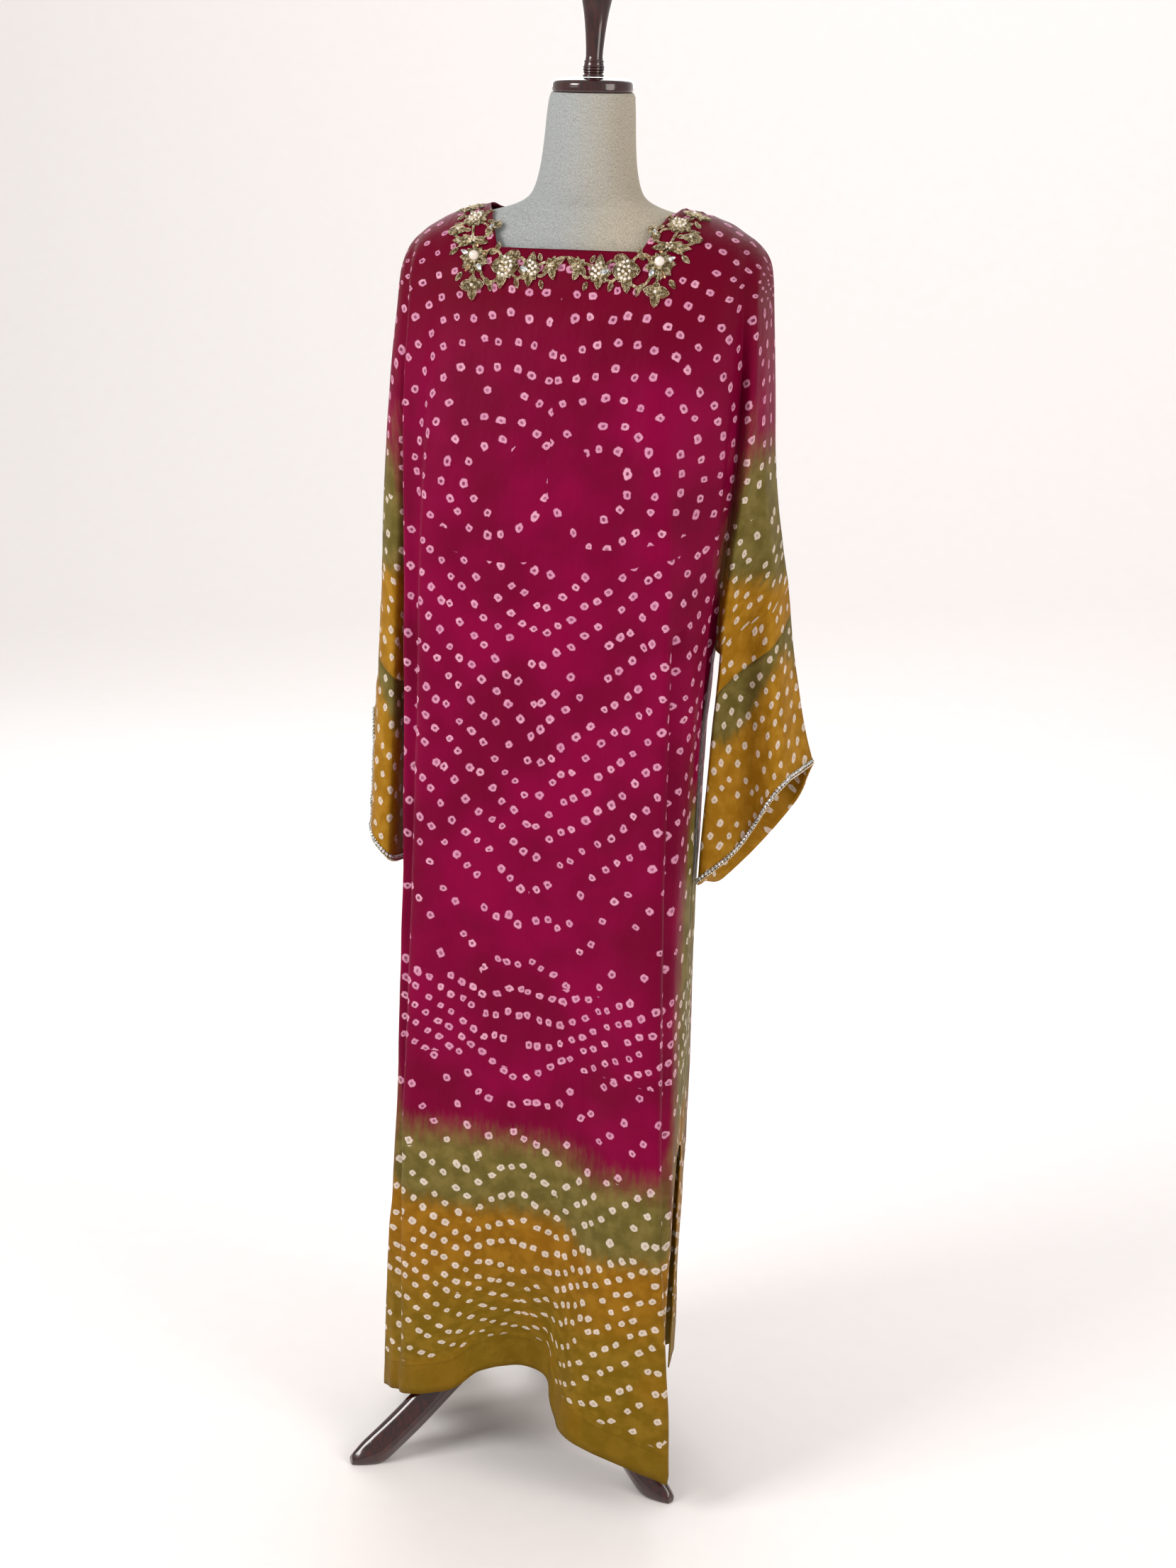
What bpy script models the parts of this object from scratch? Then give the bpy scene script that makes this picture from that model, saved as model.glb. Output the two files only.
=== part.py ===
# Floor-length tie-dyed silk kaftan on a limbless dress form with a tripod stand.
# Metres, +Z up, the garment's front faces -Y, the wearer's left is +X.
# The form's neck axis is x = 0, y = 0 while building; everything is shifted at the end
# so that the middle of the bounding box stands on the origin.

import math
import bpy
import bmesh
from mathutils import Vector
from mathutils.bvhtree import BVHTree

for old in list(bpy.data.objects):
    bpy.data.objects.remove(old, do_unlink=True)

# Cloth and seam sizes
CLOTH = 0.0016
HALF_SEAM = 0.00016
CORNER_SEAM = 0.00024
SHOULDER_SEAM = 0.00030
# In a sharp fold the inside lies at most this many thicknesses behind the outside
DEEPEST_FOLD = 3.0

# Heights of the kaftan
CHEST_Z = 1.400
# Shoulder seam: distance from the centre, height, depth
SHOULDER = ((.108, 1.4900, .0040), (.120, 1.4880, .0060), (.145, 1.4815, .0102),
            (.165, 1.4715, .0135), (.180, 1.4622, .0160), (.190, 1.4532, .0177),
            (.198, 1.4410, .0190), (.2045, 1.4220, .0201))
# One shoulder of the form stands a little higher, and the cloth hangs from it
FORM_TILT = 2.0
TILT_FROM_Z = 1.10
NECK_CORNER_ANGLE = 55.0
BACK_NECK_ANGLE = 42.0
SLIT_TOP_Z = 0.42

# Rows over the shoulder, in degrees from the shoulder seam down to the chest
SHOULDER_ROWS = (0.0, 11.0, 24.0, 40.0, 55.0, 66.0, 78.0, 90.0)
FRONT_NECK_ROW = 4
BACK_NECK_ROW = 3

# Rows that are level all round, then rows down to the hem
CHEST_ROWS = (1.36, 1.32, 1.28, 1.24, 1.20, 1.16)
FORK_START_Z = 1.16
SEAM_INNER_Z = 0.948
FORK_ROWS = 6
FORK_STEP = 4
UNDERARM_ROWS = tuple(FORK_START_Z + (SEAM_INNER_Z - FORK_START_Z) * k / FORK_ROWS
                      for k in range(1, FORK_STEP + 1))
BODY_ROWS = (0.985, 0.950, 0.91, 0.86, 0.81, 0.76, 0.71, 0.66, 0.61, 0.56, 0.51, 0.465, 0.42,
             0.37, 0.32)
HEM_STEPS = 6

# Heights of the sections in the tables of body columns
LEVELS = (1.40, 1.30, 1.20, 1.12, 1.03, 0.90, 0.75, 0.60, 0.45, 0.30, 0.18, 0.05)

# Front of the body: name, x at the shoulder, x by level, y by level, hem height, steps to the next
FRONT_BODY = (
    ("side left", -0.184,
     (-.180, -.180, -.178, -.174, -.172, -.158, -.155, -.155, -.157, -.160, -.165, -.170),
     (-.055, -.054, -.050, -.045, -.024, .000, .000, .002, .000, -.010, -.020, -.030), .054, 2),
    ("fold left", -0.172,
     (-.172, -.174, -.170, -.166, -.163, -.159, -.156, -.154, -.153, -.158, -.163, -.167),
     (-.075, -.082, -.085, -.088, -.090, -.088, -.088, -.088, -.088, -.084, -.072, -.056), .0735, 2),
    ("dip left", -0.150,
     (-.150, -.152, -.150, -.148, -.146, -.145, -.144, -.143, -.142, -.145, -.147, -.150),
     (-.083, -.090, -.095, -.096, -.097, -.095, -.095, -.096, -.097, -.095, -.090, -.082), .0815, 2),
    ("edge left", -0.130,
     (-.126, -.132, -.136, -.137, -.136, -.134, -.134, -.135, -.137, -.136, -.132, -.124),
     (-.093, -.110, -.121, -.124, -.124, -.122, -.121, -.120, -.118, -.112, -.106, -.100), .0885, 2),
    ("neck left", -0.108,
     (-.0775, -.082, -.086, -.088, -.088, -.088, -.088, -.088, -.088, -.084, -.076, -.066),
     (-.099, -.118, -.128, -.130, -.130, -.128, -.127, -.126, -.123, -.117, -.111, -.107), .1080, 2),
    ("arch left", -0.045,
     (-.040, -.041, -.043, -.044, -.044, -.044, -.044, -.044, -.044, -.042, -.038, -.032),
     (-.101, -.121, -.131, -.133, -.132, -.130, -.129, -.128, -.124, -.115, -.108, -.104), .137, 2),
    ("centre", 0.0,
     (.000, .000, .000, .000, .000, .000, .000, .000, .000, .004, .010, .014),
     (-.102, -.121, -.131, -.133, -.132, -.130, -.129, -.128, -.124, -.111, -.099, -.092), .147, 2),
    ("arch right", 0.045,
     (.040, .041, .043, .044, .044, .043, .042, .041, .040, .040, .041, .043),
     (-.101, -.120, -.131, -.133, -.133, -.132, -.131, -.130, -.125, -.113, -.103, -.094), .138, 2),
    ("neck right", 0.108,
     (.0775, .082, .086, .088, .087, .085, .083, .080, .074, .064, .059, .056),
     (-.099, -.118, -.130, -.133, -.134, -.134, -.134, -.132, -.128, -.121, -.119, -.120), .1010, 2),
    ("lobe right", 0.121,
     (.100, .106, .113, .115, .116, .117, .118, .117, .112, .100, .090, .083),
     (-.098, -.117, -.131, -.135, -.138, -.139, -.140, -.142, -.145, -.150, -.156, -.159), .0935, 3),
    ("edge right", 0.135,
     (.118, .127, .135, .139, .142, .147, .152, .159, .167, .178, .190, .199),
     (-.094, -.111, -.124, -.131, -.136, -.139, -.141, -.144, -.149, -.154, -.155, -.146), .0505, 1),
    ("dip right", 0.152,
     (.142, .153, .158, .160, .161, .162, .165, .170, .177, .187, .196, .202),
     (-.088, -.099, -.100, -.100, -.100, -.102, -.106, -.113, -.125, -.140, -.145, -.136), .049, 2),
    ("fold right", 0.171,
     (.173, .178, .178, .175, .171, .168, .169, .173, .179, .182, .187, .194),
     (-.077, -.081, -.076, -.068, -.056, -.050, -.055, -.066, -.088, -.117, -.129, -.123), .053, 2),
    ("side right", 0.182,
     (.185, .188, .187, .181, .174, .165, .166, .168, .171, .170, .172, .177),
     (-.056, -.048, -.042, -.038, -.022, .000, .000, -.004, -.025, -.070, -.092, -.100), .058, 0),
)

# Back of the body, the same columns in the table
BACK_BODY = (
    ("side left", -0.184,
     (-.180, -.180, -.178, -.174, -.172, -.158, -.155, -.155, -.157, -.163, -.168, -.170),
     (.062, .060, .054, .044, .020, .000, .000, .002, .008, .018, .022, .020), .026, 2),
    ("blade left", -0.152,
     (-.152, -.152, -.150, -.149, -.148, -.146, -.146, -.149, -.153, -.158, -.162, -.165),
     (.084, .092, .094, .092, .090, .092, .096, .100, .104, .108, .112, .114), .022, 2),
    ("neck left", -0.108,
     (-.088, -.090, -.090, -.090, -.090, -.090, -.090, -.090, -.091, -.092, -.094, -.096),
     (.096, .108, .112, .114, .118, .124, .131, .137, .143, .149, .156, .160), .036, 2),
    ("centre", 0.0,
     (.000, .000, .000, .000, .000, .000, .000, .000, .000, .000, .000, .000),
     (.098, .112, .114, .115, .118, .122, .126, .129, .132, .136, .142, .146), .112, 2),
    ("neck right", 0.108,
     (.088, .090, .090, .090, .090, .090, .090, .090, .091, .092, .094, .096),
     (.096, .108, .112, .114, .118, .124, .131, .137, .143, .149, .156, .160), .040, 2),
    ("blade right", 0.152,
     (.152, .152, .150, .149, .148, .147, .148, .150, .152, .154, .157, .161),
     (.084, .092, .094, .092, .090, .092, .096, .100, .104, .107, .108, .106), .094, 2),
    ("side right", 0.182,
     (.180, .178, .174, .172, .172, .165, .166, .168, .170, .168, .167, .164),
     (.062, .060, .054, .042, .018, .000, .000, -.004, .006, .028, .044, .052), .092, 0),
)

# Sleeves: heights of their sections
SLEEVE_LEVELS = (1.40, 1.30, 1.20, 1.12, 1.06, 1.00, 0.92, 0.85, 0.75)

# Sleeve on the wearer's left (+X): name, x at the shoulder, x and y by level, steps to the next
SLEEVE_RIGHT_FRONT = (
    ("inner ridge", 0.194,
     (.197, .202, .200, .192, .187, .185, .181, .179, .177),
     (-.048, -.058, -.058, -.054, -.050, -.047, -.047, -.047, -.047), 2),
    ("middle dip", 0.1975,
     (.2005, .208, .210, .208, .208, .209, .213, .216, .219),
     (-.032, -.044, -.040, -.034, -.028, -.025, -.024, -.024, -.026), 2),
    ("outer ridge", 0.2005,
     (.2025, .212, .219, .229, .236, .244, .252, .260, .268),
     (-.010, -.020, -.024, -.026, -.028, -.030, -.032, -.034, -.036), 2),
    ("overarm", 0.2030,
     (.2035, .214, .225, .240, .252, .262, .278, .300, .311),
     (.020, .020, .020, .020, .020, .022, .026, .030, .032), 0),
)
SLEEVE_RIGHT_BACK = (
    ("inner ridge", 0.191,
     (.192, .190, .188, .187, .189, .191, .192, .192, .192),
     (.064, .066, .060, .052, .046, .044, .044, .045, .045), 2),
    ("outer ridge", 0.198,
     (.203, .210, .216, .224, .232, .240, .250, .263, .270),
     (.046, .050, .050, .050, .050, .052, .056, .060, .062), 2),
    ("overarm", 0.2030,
     (.2035, .214, .225, .240, .252, .262, .278, .300, .311),
     (.020, .020, .020, .020, .020, .022, .026, .030, .032), 0),
)
SLEEVE_LEFT_FRONT = (
    ("inner ridge", -0.190,
     (-.190, -.189, -.187, -.185, -.184, -.182, -.180, -.179, -.178),
     (-.046, -.054, -.055, -.056, -.058, -.060, -.064, -.068, -.072), 2),
    ("middle dip", -0.1945,
     (-.198, -.201, -.202, -.202, -.203, -.203, -.203, -.203, -.203),
     (-.031, -.040, -.041, -.042, -.043, -.045, -.050, -.054, -.058), 2),
    ("outer ridge", -0.199,
     (-.203, -.209, -.213, -.214, -.214, -.214, -.215, -.216, -.217),
     (-.010, -.014, -.013, -.012, -.011, -.010, -.011, -.013, -.015), 2),
    ("overarm", -0.2025,
     (-.206, -.213, -.219, -.223, -.225, -.227, -.234, -.240, -.244),
     (.021, .024, .028, .033, .038, .044, .050, .055, .058), 0),
)
SLEEVE_LEFT_BACK = (
    ("inner ridge", -0.191,
     (-.192, -.190, -.187, -.185, -.185, -.185, -.185, -.185, -.185),
     (.066, .068, .062, .056, .052, .050, .048, .048, .048), 2),
    ("outer ridge", -0.198,
     (-.203, -.207, -.210, -.212, -.213, -.214, -.217, -.221, -.224),
     (.048, .054, .058, .062, .066, .070, .074, .077, .079), 2),
    ("overarm", -0.2025,
     (-.206, -.213, -.219, -.223, -.225, -.227, -.234, -.240, -.244),
     (.021, .024, .028, .033, .038, .044, .050, .055, .058), 0),
)

# Underarm seam of each sleeve below the fork: x and y at the last six sleeve levels
UNDERARM_RIGHT_X = (.180, .180, .179, .179, .177, .176)
UNDERARM_RIGHT_Y = (-.005, -.004, .000, .000, .000, .000)
UNDERARM_LEFT_X = (-.178, -.178, -.174, -.173, -.173, -.173)
UNDERARM_LEFT_Y = (-.005, -.006, -.008, -.010, -.012, -.014)

# Height of the slanting seam of the sleeve ends at the overarm
SEAM_OUTER_Z = {"left": 1.005, "right": 1.062}
CUFF_STEPS = 7
# Cuff heights: share from underarm to overarm, front edge, back edge
CUFF_RIGHT = ((0.0, .7440, .7440), (0.25, .7570, .7330), (0.333, .766, .736), (0.5, .795, .776),
              (0.667, .843, .829), (0.75, .868, .856), (1.0, .889, .889))
CUFF_LEFT = ((0.0, .735, .735), (0.25, .750, .740), (0.333, .756, .760), (0.5, .768, .815),
             (0.667, .774, .8645), (0.75, .780, .875), (1.0, .889, .889))

# Dress form: height, half width, depth in front, depth behind
TORSO = (
    (0.800, .138, .100, .100), (0.812, .145, .108, .106), (0.840, .147, .110, .108),
    (0.900, .146, .108, .106), (0.980, .140, .100, .098), (1.060, .134, .094, .088),
    (1.120, .136, .098, .086), (1.200, .152, .112, .092), (1.260, .164, .110, .094),
    (1.320, .173, .099, .092), (1.370, .182, .090, .084), (1.400, .1865, .085, .078),
    (1.420, .1870, .080, .071), (1.436, .184, .076, .065), (1.4500, .176, .073, .060),
    (1.4620, .162, .068, .056), (1.4712, .146, .062, .053), (1.4793, .126, .056, .051),
    (1.4846, .107, .051, .050), (1.4890, .088, .048, .050), (1.4942, .074, .0475, .050),
    (1.501, .0630, .049, .050), (1.512, .0570, .0505, .0505), (1.535, .0517, .0505, .050),
    (1.565, .0492, .049, .049), (1.592, .0478, .0478, .0478), (1.606, .0462, .0462, .0462),
    (1.6105, .0440, .0440, .0440),
)
TORSO_SIDES = 28
TORSO_ROUNDING = 2.35

# Turned parts: height and radius
NECK_CAP = ((1.6110, .0424), (1.6130, .0433), (1.6170, .0435), (1.6215, .0426), (1.6240, .0388),
            (1.6253, .0300), (1.6260, .0150))
FINIAL = ((1.6265, .0110), (1.6280, .0116), (1.6300, .0107), (1.6315, .0112), (1.6355, .0117),
          (1.6385, .0114), (1.6400, .0106), (1.6420, .0110), (1.6445, .0102), (1.6470, .0093),
          (1.6670, .0106), (1.6900, .0134), (1.7090, .0170), (1.7310, .0190), (1.7430, .0185),
          (1.7510, .0150), (1.7550, .0080))
POLE = ((0.2350, .0120), (0.7995, .0120))
HUB = ((0.1120, .0120), (0.1150, .0200), (0.1220, .0240), (0.1300, .0280), (0.1950, .0280),
       (0.2050, .0250), (0.2120, .0180), (0.2200, .0200), (0.2280, .0190), (0.2346, .0150))
TURNED_SIDES = 20

# Legs: distance from the axis, half width, top, ridge half width, underside
LEG = (
    (.0284, .0130, .174, .0030, .132), (.058, .0152, .166, .0035, .118),
    (.088, .0172, .145, .0040, .093), (.118, .0188, .114, .0045, .063),
    (.145, .0195, .086, .0045, .037), (.170, .0195, .062, .0045, .015),
    (.190, .0185, .044, .0040, .000), (.207, .0162, .030, .0034, .000),
    (.220, .0115, .019, .0028, .000), (.227, .0060, .011, .0020, .000),
)
LEG_TURNS = (("leg_left", -55.0), ("leg_right", 63.0), ("leg_back", 184.0))

# Thick gold-thread motifs on each side of the neckline. Distance from the centre, rise along the
# cloth above the chest row, radius in the middle, height in the middle, then lobes as
# (direction, reach, half width), 0 degrees away from the centre and 90 up; millimetres and degrees
MOTIFS = (
    ("shoulder_sprig", 122.0, 113.0, 6.5, 2.8,
     ((10, 18.0, 30), (60, 11.5, 26), (105, 12.0, 26), (155, 14.0, 28), (215, 9.5, 28), (315, 10.5, 28))),
    ("upper_flower", 111.0, 87.0, 10.0, 2.8,
     ((20, 14.0, 24), (65, 14.0, 24), (110, 14.0, 24), (155, 14.0, 24), (200, 13.5, 24),
      (245, 13.5, 24), (290, 13.0, 24), (335, 13.5, 24))),
    ("outer_leaf", 126.0, 69.5, 5.2, 2.4,
     ((5, 12.0, 50), (90, 6.0, 40), (180, 8.0, 45), (270, 5.8, 40))),
    ("inner_leaf", 88.5, 69.5, 3.8, 2.4,
     ((123, 14.0, 42), (303, 8.0, 44))),
    ("leaf_cluster", 106.5, 55.0, 5.6, 2.6,
     ((2, 22.0, 24), (30, 13.5, 20), (165, 12.5, 20), (190, 18.0, 22), (335, 16.0, 20))),
    ("main_flower", 100.0, 37.0, 9.6, 1.2,
     ((0, 16.0, 22), (42, 12.0, 20), (82, 10.4, 20), (122, 11.0, 20), (162, 15.0, 22),
      (202, 16.0, 22), (242, 16.0, 20), (278, 16.0, 20), (318, 16.0, 22))),
    ("trefoil", 99.0, 11.0, 5.4, 2.6,
     ((355, 13.5, 38), (90, 8.5, 40), (175, 12.5, 38), (267, 13.5, 36))),
    ("crescent", 66.0, 28.5, 9.5, 2.6,
     ((0, 14.0, 40), (60, 11.5, 28), (118, 17.5, 30), (180, 15.5, 44), (232, 12.5, 28), (277, 19.5, 28))),
    ("bud", 37.5, 25.5, 8.2, 2.8,
     ((0, 12.0, 32), (48, 10.0, 26), (95, 16.5, 28), (142, 10.0, 26), (180, 10.6, 32), (228, 10.5, 26),
      (270, 14.0, 28), (312, 10.5, 26))),
    ("centre_sprig", 15.0, 29.5, 5.0, 2.4,
     ((60, 8.0, 30), (108, 9.5, 28), (147, 16.8, 24), (190, 8.0, 26), (250, 12.0, 30), (322, 10.0, 32))),
)
MOTIF_LIFT = 0.0009
MOTIF_EDGE = 0.0017
MOTIF_SHOULDER = 0.0026
OVERHANG_LIFT = 0.0012
RISE_RADIUS = 0.092
CHEST_DEPTH = 0.104
CHEST_RISE = 0.0885
PEARL_RADIUS = 0.0052

# Colours, linear
MAGENTA = (0.30, 0.004, 0.06)
MUSTARD = (0.38, 0.20, 0.02)
LINEN = (0.55, 0.55, 0.52)
MAHOGANY = (0.020, 0.004, 0.004)
OLD_GOLD = (0.42, 0.33, 0.15)
PEARL = (0.80, 0.76, 0.68)


# Materials
def material(name, colour, rough, metal=0.0):
    made = bpy.data.materials.new(name)
    made.use_nodes = True
    shader = made.node_tree.nodes["Principled BSDF"]
    shader.inputs["Base Color"].default_value = (*colour, 1.0)
    shader.inputs["Roughness"].default_value = rough
    shader.inputs["Metallic"].default_value = metal
    return made


# Smooth curve through a table's values
def curve_at(levels, values, at):
    count = len(levels)
    step = 1 if levels[1] > levels[0] else -1
    if (at - levels[0]) * step <= 0.0:
        return values[0]
    if (at - levels[-1]) * step >= 0.0:
        return values[-1]
    for i in range(count - 1):
        if (at - levels[i + 1]) * step <= 0.0:
            break
    span = levels[i + 1] - levels[i]
    share = (at - levels[i]) / span

    def slope(j):
        if j == 0:
            return (values[1] - values[0]) / (levels[1] - levels[0])
        if j == count - 1:
            return (values[-1] - values[-2]) / (levels[-1] - levels[-2])
        return (values[j + 1] - values[j - 1]) / (levels[j + 1] - levels[j - 1])

    s2 = share * share
    s3 = s2 * share
    return ((2 * s3 - 3 * s2 + 1) * values[i] + (s3 - 2 * s2 + share) * span * slope(i)
            + (3 * s2 - 2 * s3) * values[i + 1] + (s3 - s2) * span * slope(i + 1))


def shoulder_seam(x):
    reach = [row[0] for row in SHOULDER]
    place = max(reach[0], min(reach[-1], abs(x)))
    height = curve_at(reach, [row[1] for row in SHOULDER], place)
    depth = curve_at(reach, [row[2] for row in SHOULDER], place)
    return height, depth


def on_shoulder(point):
    height, depth = shoulder_seam(point.x)
    return Vector((point.x, depth, height))


def shoulder_normal(x):
    here = max(SHOULDER[0][0], min(SHOULDER[-1][0], abs(x)))
    inner = shoulder_seam(here - 0.003)[0]
    outer = shoulder_seam(here + 0.003)[0]
    span = min(SHOULDER[-1][0], here + 0.003) - max(SHOULDER[0][0], here - 0.003)
    return Vector((math.copysign((inner - outer) / span, x), 0.0, 1.0)).normalized()


# Everything that rides on the form's shoulders is raised on one side
def settle(point):
    share = max(0.0, min(1.0, (point.z - TILT_FROM_Z) / (CHEST_Z - TILT_FROM_Z)))
    share = share * share * (3.0 - 2.0 * share)
    slope = math.tan(math.radians(FORM_TILT)) * share
    return Vector((point.x, point.y, point.z + slope * point.x))


# One named column of a panel; it gives the plan point at a height or an angle over the shoulder
class Column:
    def __init__(self, name, top_x, levels, xs, ys, hem=None):
        self.name = name
        self.top_x = top_x
        self.levels = levels
        self.xs = xs
        self.ys = ys
        self.hem = hem

    def plan(self, z):
        return curve_at(self.levels, self.xs, z), curve_at(self.levels, self.ys, z)

    def over_shoulder(self, angle, corner_angle):
        turn = math.radians(angle)
        share = angle / 90.0
        if "neck" in self.name:
            share = min(1.0, angle / corner_angle)
        x = self.top_x + (self.xs[0] - self.top_x) * share
        top_z, top_y = shoulder_seam(self.top_x)
        y = top_y + (self.ys[0] - top_y) * math.sin(turn)
        z = CHEST_Z + (top_z - CHEST_Z) * math.cos(turn)
        return Vector((x, y, z))


def body_columns(table):
    columns = [Column(row[0], row[1], LEVELS, row[2], row[3], row[4]) for row in table]
    return columns, [row[5] for row in table]


def sleeve_columns(table):
    columns = [Column(row[0], row[1], SLEEVE_LEVELS, row[2], row[3]) for row in table]
    return columns, [row[4] for row in table]


# Spline across the controls of one row, with the wanted number of steps in each part
def across(points, steps):
    made = [points[0]]
    last = len(points) - 1
    for i in range(last):
        p0 = points[max(0, i - 1)]
        p1 = points[i]
        p2 = points[i + 1]
        p3 = points[min(last, i + 2)]
        chord = (p2 - p1).length
        before = max((p1 - p0).length, 1e-6)
        after = max((p3 - p2).length, 1e-6)
        if i == 0:
            m1 = (p2 - p1)
        else:
            m1 = (p2 - p0) * (chord / (before + chord))
        if i + 1 == last:
            m2 = (p2 - p1)
        else:
            m2 = (p3 - p1) * (chord / (chord + after))
        for k in range(1, steps[i] + 1):
            s = k / steps[i]
            s2 = s * s
            s3 = s2 * s
            made.append(p1 * (2 * s3 - 3 * s2 + 1) + m1 * (s3 - 2 * s2 + s)
                        + p2 * (3 * s2 - 2 * s3) + m2 * (s3 - s2))
    return made


# Rows of one panel: body columns from side to side and the two sleeves, keyed by place
def seam_height(part, share):
    return SEAM_INNER_Z + (SEAM_OUTER_Z[part] - SEAM_INNER_Z) * share


def sleeve_row_height(part, step, share):
    return FORK_START_Z + (seam_height(part, share) - FORK_START_Z) * step / FORK_ROWS


def underarm_point(part, step, xs, ys):
    z = sleeve_row_height(part, step, 0.0)
    return Vector((curve_at(SLEEVE_LEVELS[3:], xs, z), curve_at(SLEEVE_LEVELS[3:], ys, z), z))


class Panel:
    def __init__(self, side, body, left, right, neck_row, corner_angle):
        self.side = side
        self.points = {}
        self.faces = []
        self.body, self.body_steps = body_columns(body)
        self.left, self.left_steps = sleeve_columns(left)
        self.right, self.right_steps = sleeve_columns(right)
        self.neck_row = neck_row
        self.corner_angle = corner_angle
        self.build()

    def key(self, part, row, col):
        if row == 0 or part == "body" and row > self.fork_row + self.slit_steps:
            return (self.side, part, row, col)
        if part == "body" and col == 0 and row >= self.fork_row:
            return ("seam", "body left", row)
        if part == "body" and col == self.body_count and row >= self.fork_row:
            return ("seam", "body right", row)
        if part in ("left", "right") and col == self.sleeve_count[part]:
            return ("seam", "over " + part, row)
        if part in ("left", "right") and col == 0:
            return ("seam", "under " + part, row)
        return (self.side, part, row, col)

    def build(self):
        shoulder = len(SHOULDER_ROWS)
        level = CHEST_ROWS + UNDERARM_ROWS
        self.fork_row = shoulder + len(level) - 1
        self.slit_steps = BODY_ROWS.index(SLIT_TOP_Z) + 1
        self.body_count = sum(self.body_steps)
        self.sleeve_count = {"left": sum(self.left_steps) + 2, "right": sum(self.right_steps) + 2}
        low = BODY_ROWS[-1]
        for row in range(shoulder + len(level) + len(BODY_ROWS) + HEM_STEPS):
            controls = []
            for column in self.body:
                if row < shoulder:
                    controls.append(column.over_shoulder(SHOULDER_ROWS[row], self.corner_angle))
                    continue
                if row < shoulder + len(level):
                    z = level[row - shoulder]
                elif row < shoulder + len(level) + len(BODY_ROWS):
                    z = BODY_ROWS[row - shoulder - len(level)]
                else:
                    step = row - shoulder - len(level) - len(BODY_ROWS) + 1
                    z = low + (column.hem - low) * step / HEM_STEPS
                x, y = column.plan(z)
                controls.append(Vector((x, y, z)))
            made = across(controls, self.body_steps)
            if row == 0:
                made = [on_shoulder(point) for point in made]
            for col, point in enumerate(made):
                self.points[self.place("body", row, col)] = point
            if row > self.fork_row:
                continue
            for part, table, steps in (("left", self.left, self.left_steps),
                                       ("right", self.right, self.right_steps)):
                first = controls[0] if part == "left" else controls[-1]
                self.sleeve_row(part, table, steps, row, first)
        for part, table, steps in (("left", self.left, self.left_steps),
                                   ("right", self.right, self.right_steps)):
            xs = UNDERARM_LEFT_X if part == "left" else UNDERARM_RIGHT_X
            ys = UNDERARM_LEFT_Y if part == "left" else UNDERARM_RIGHT_Y
            for step in range(FORK_STEP + 1, FORK_ROWS + 1):
                row = self.fork_row + step - FORK_STEP
                self.sleeve_row(part, table, steps, row, underarm_point(part, step, xs, ys))
        self.weave()

    def place(self, part, row, col):
        if part in ("left", "right") and col == 0 and row <= self.fork_row:
            return self.key("body", row, 0 if part == "left" else self.body_count)
        return self.key(part, row, col)

    def sleeve_row(self, part, table, steps, row, first):
        shoulder = len(SHOULDER_ROWS)
        controls = [first]
        for index, column in enumerate(table):
            share = (index + 1) / len(table)
            if row < shoulder:
                point = column.over_shoulder(SHOULDER_ROWS[row], self.corner_angle)
                controls.append(point)
                continue
            if row < shoulder + len(CHEST_ROWS):
                z = CHEST_ROWS[row - shoulder]
            else:
                z = sleeve_row_height(part, row - shoulder - len(CHEST_ROWS) + 1, share)
            x, y = column.plan(z)
            controls.append(Vector((x, y, z)))
        made = across(controls, [2] + list(steps))
        if row == 0:
            made = [on_shoulder(point) for point in made]
        for col, point in enumerate(made):
            if col == 0 and row <= self.fork_row:
                continue
            self.points[self.place(part, row, col)] = point

    def weave(self):
        rows = len(SHOULDER_ROWS) + len(CHEST_ROWS) + len(UNDERARM_ROWS) + len(BODY_ROWS) + HEM_STEPS
        names = [column.name for column in self.body]
        neck_from = sum(self.body_steps[:names.index("neck left")])
        neck_to = sum(self.body_steps[:names.index("neck right")])
        for row in range(rows - 1):
            for col in range(self.body_count):
                if row < self.neck_row and neck_from <= col < neck_to:
                    continue
                self.quad([("body", row, col), ("body", row, col + 1),
                           ("body", row + 1, col + 1), ("body", row + 1, col)], False)
        for part in ("left", "right"):
            for row in range(self.fork_row + FORK_ROWS - FORK_STEP):
                for col in range(self.sleeve_count[part]):
                    self.quad([(part, row, col), (part, row, col + 1),
                               (part, row + 1, col + 1), (part, row + 1, col)], part == "left")

    def quad(self, corners, flip):
        keys = [self.place(*corner) for corner in corners]
        if flip:
            keys.reverse()
        if self.side == "back":
            keys.reverse()
        keys.reverse()
        self.faces.append(keys)


# A sleeve end is one tube, sewn to both panels along its slanting top
def cuff_height(table, share, back):
    shares = [row[0] for row in table]
    return curve_at(shares, [row[2 if back else 1] for row in table], share)


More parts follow.
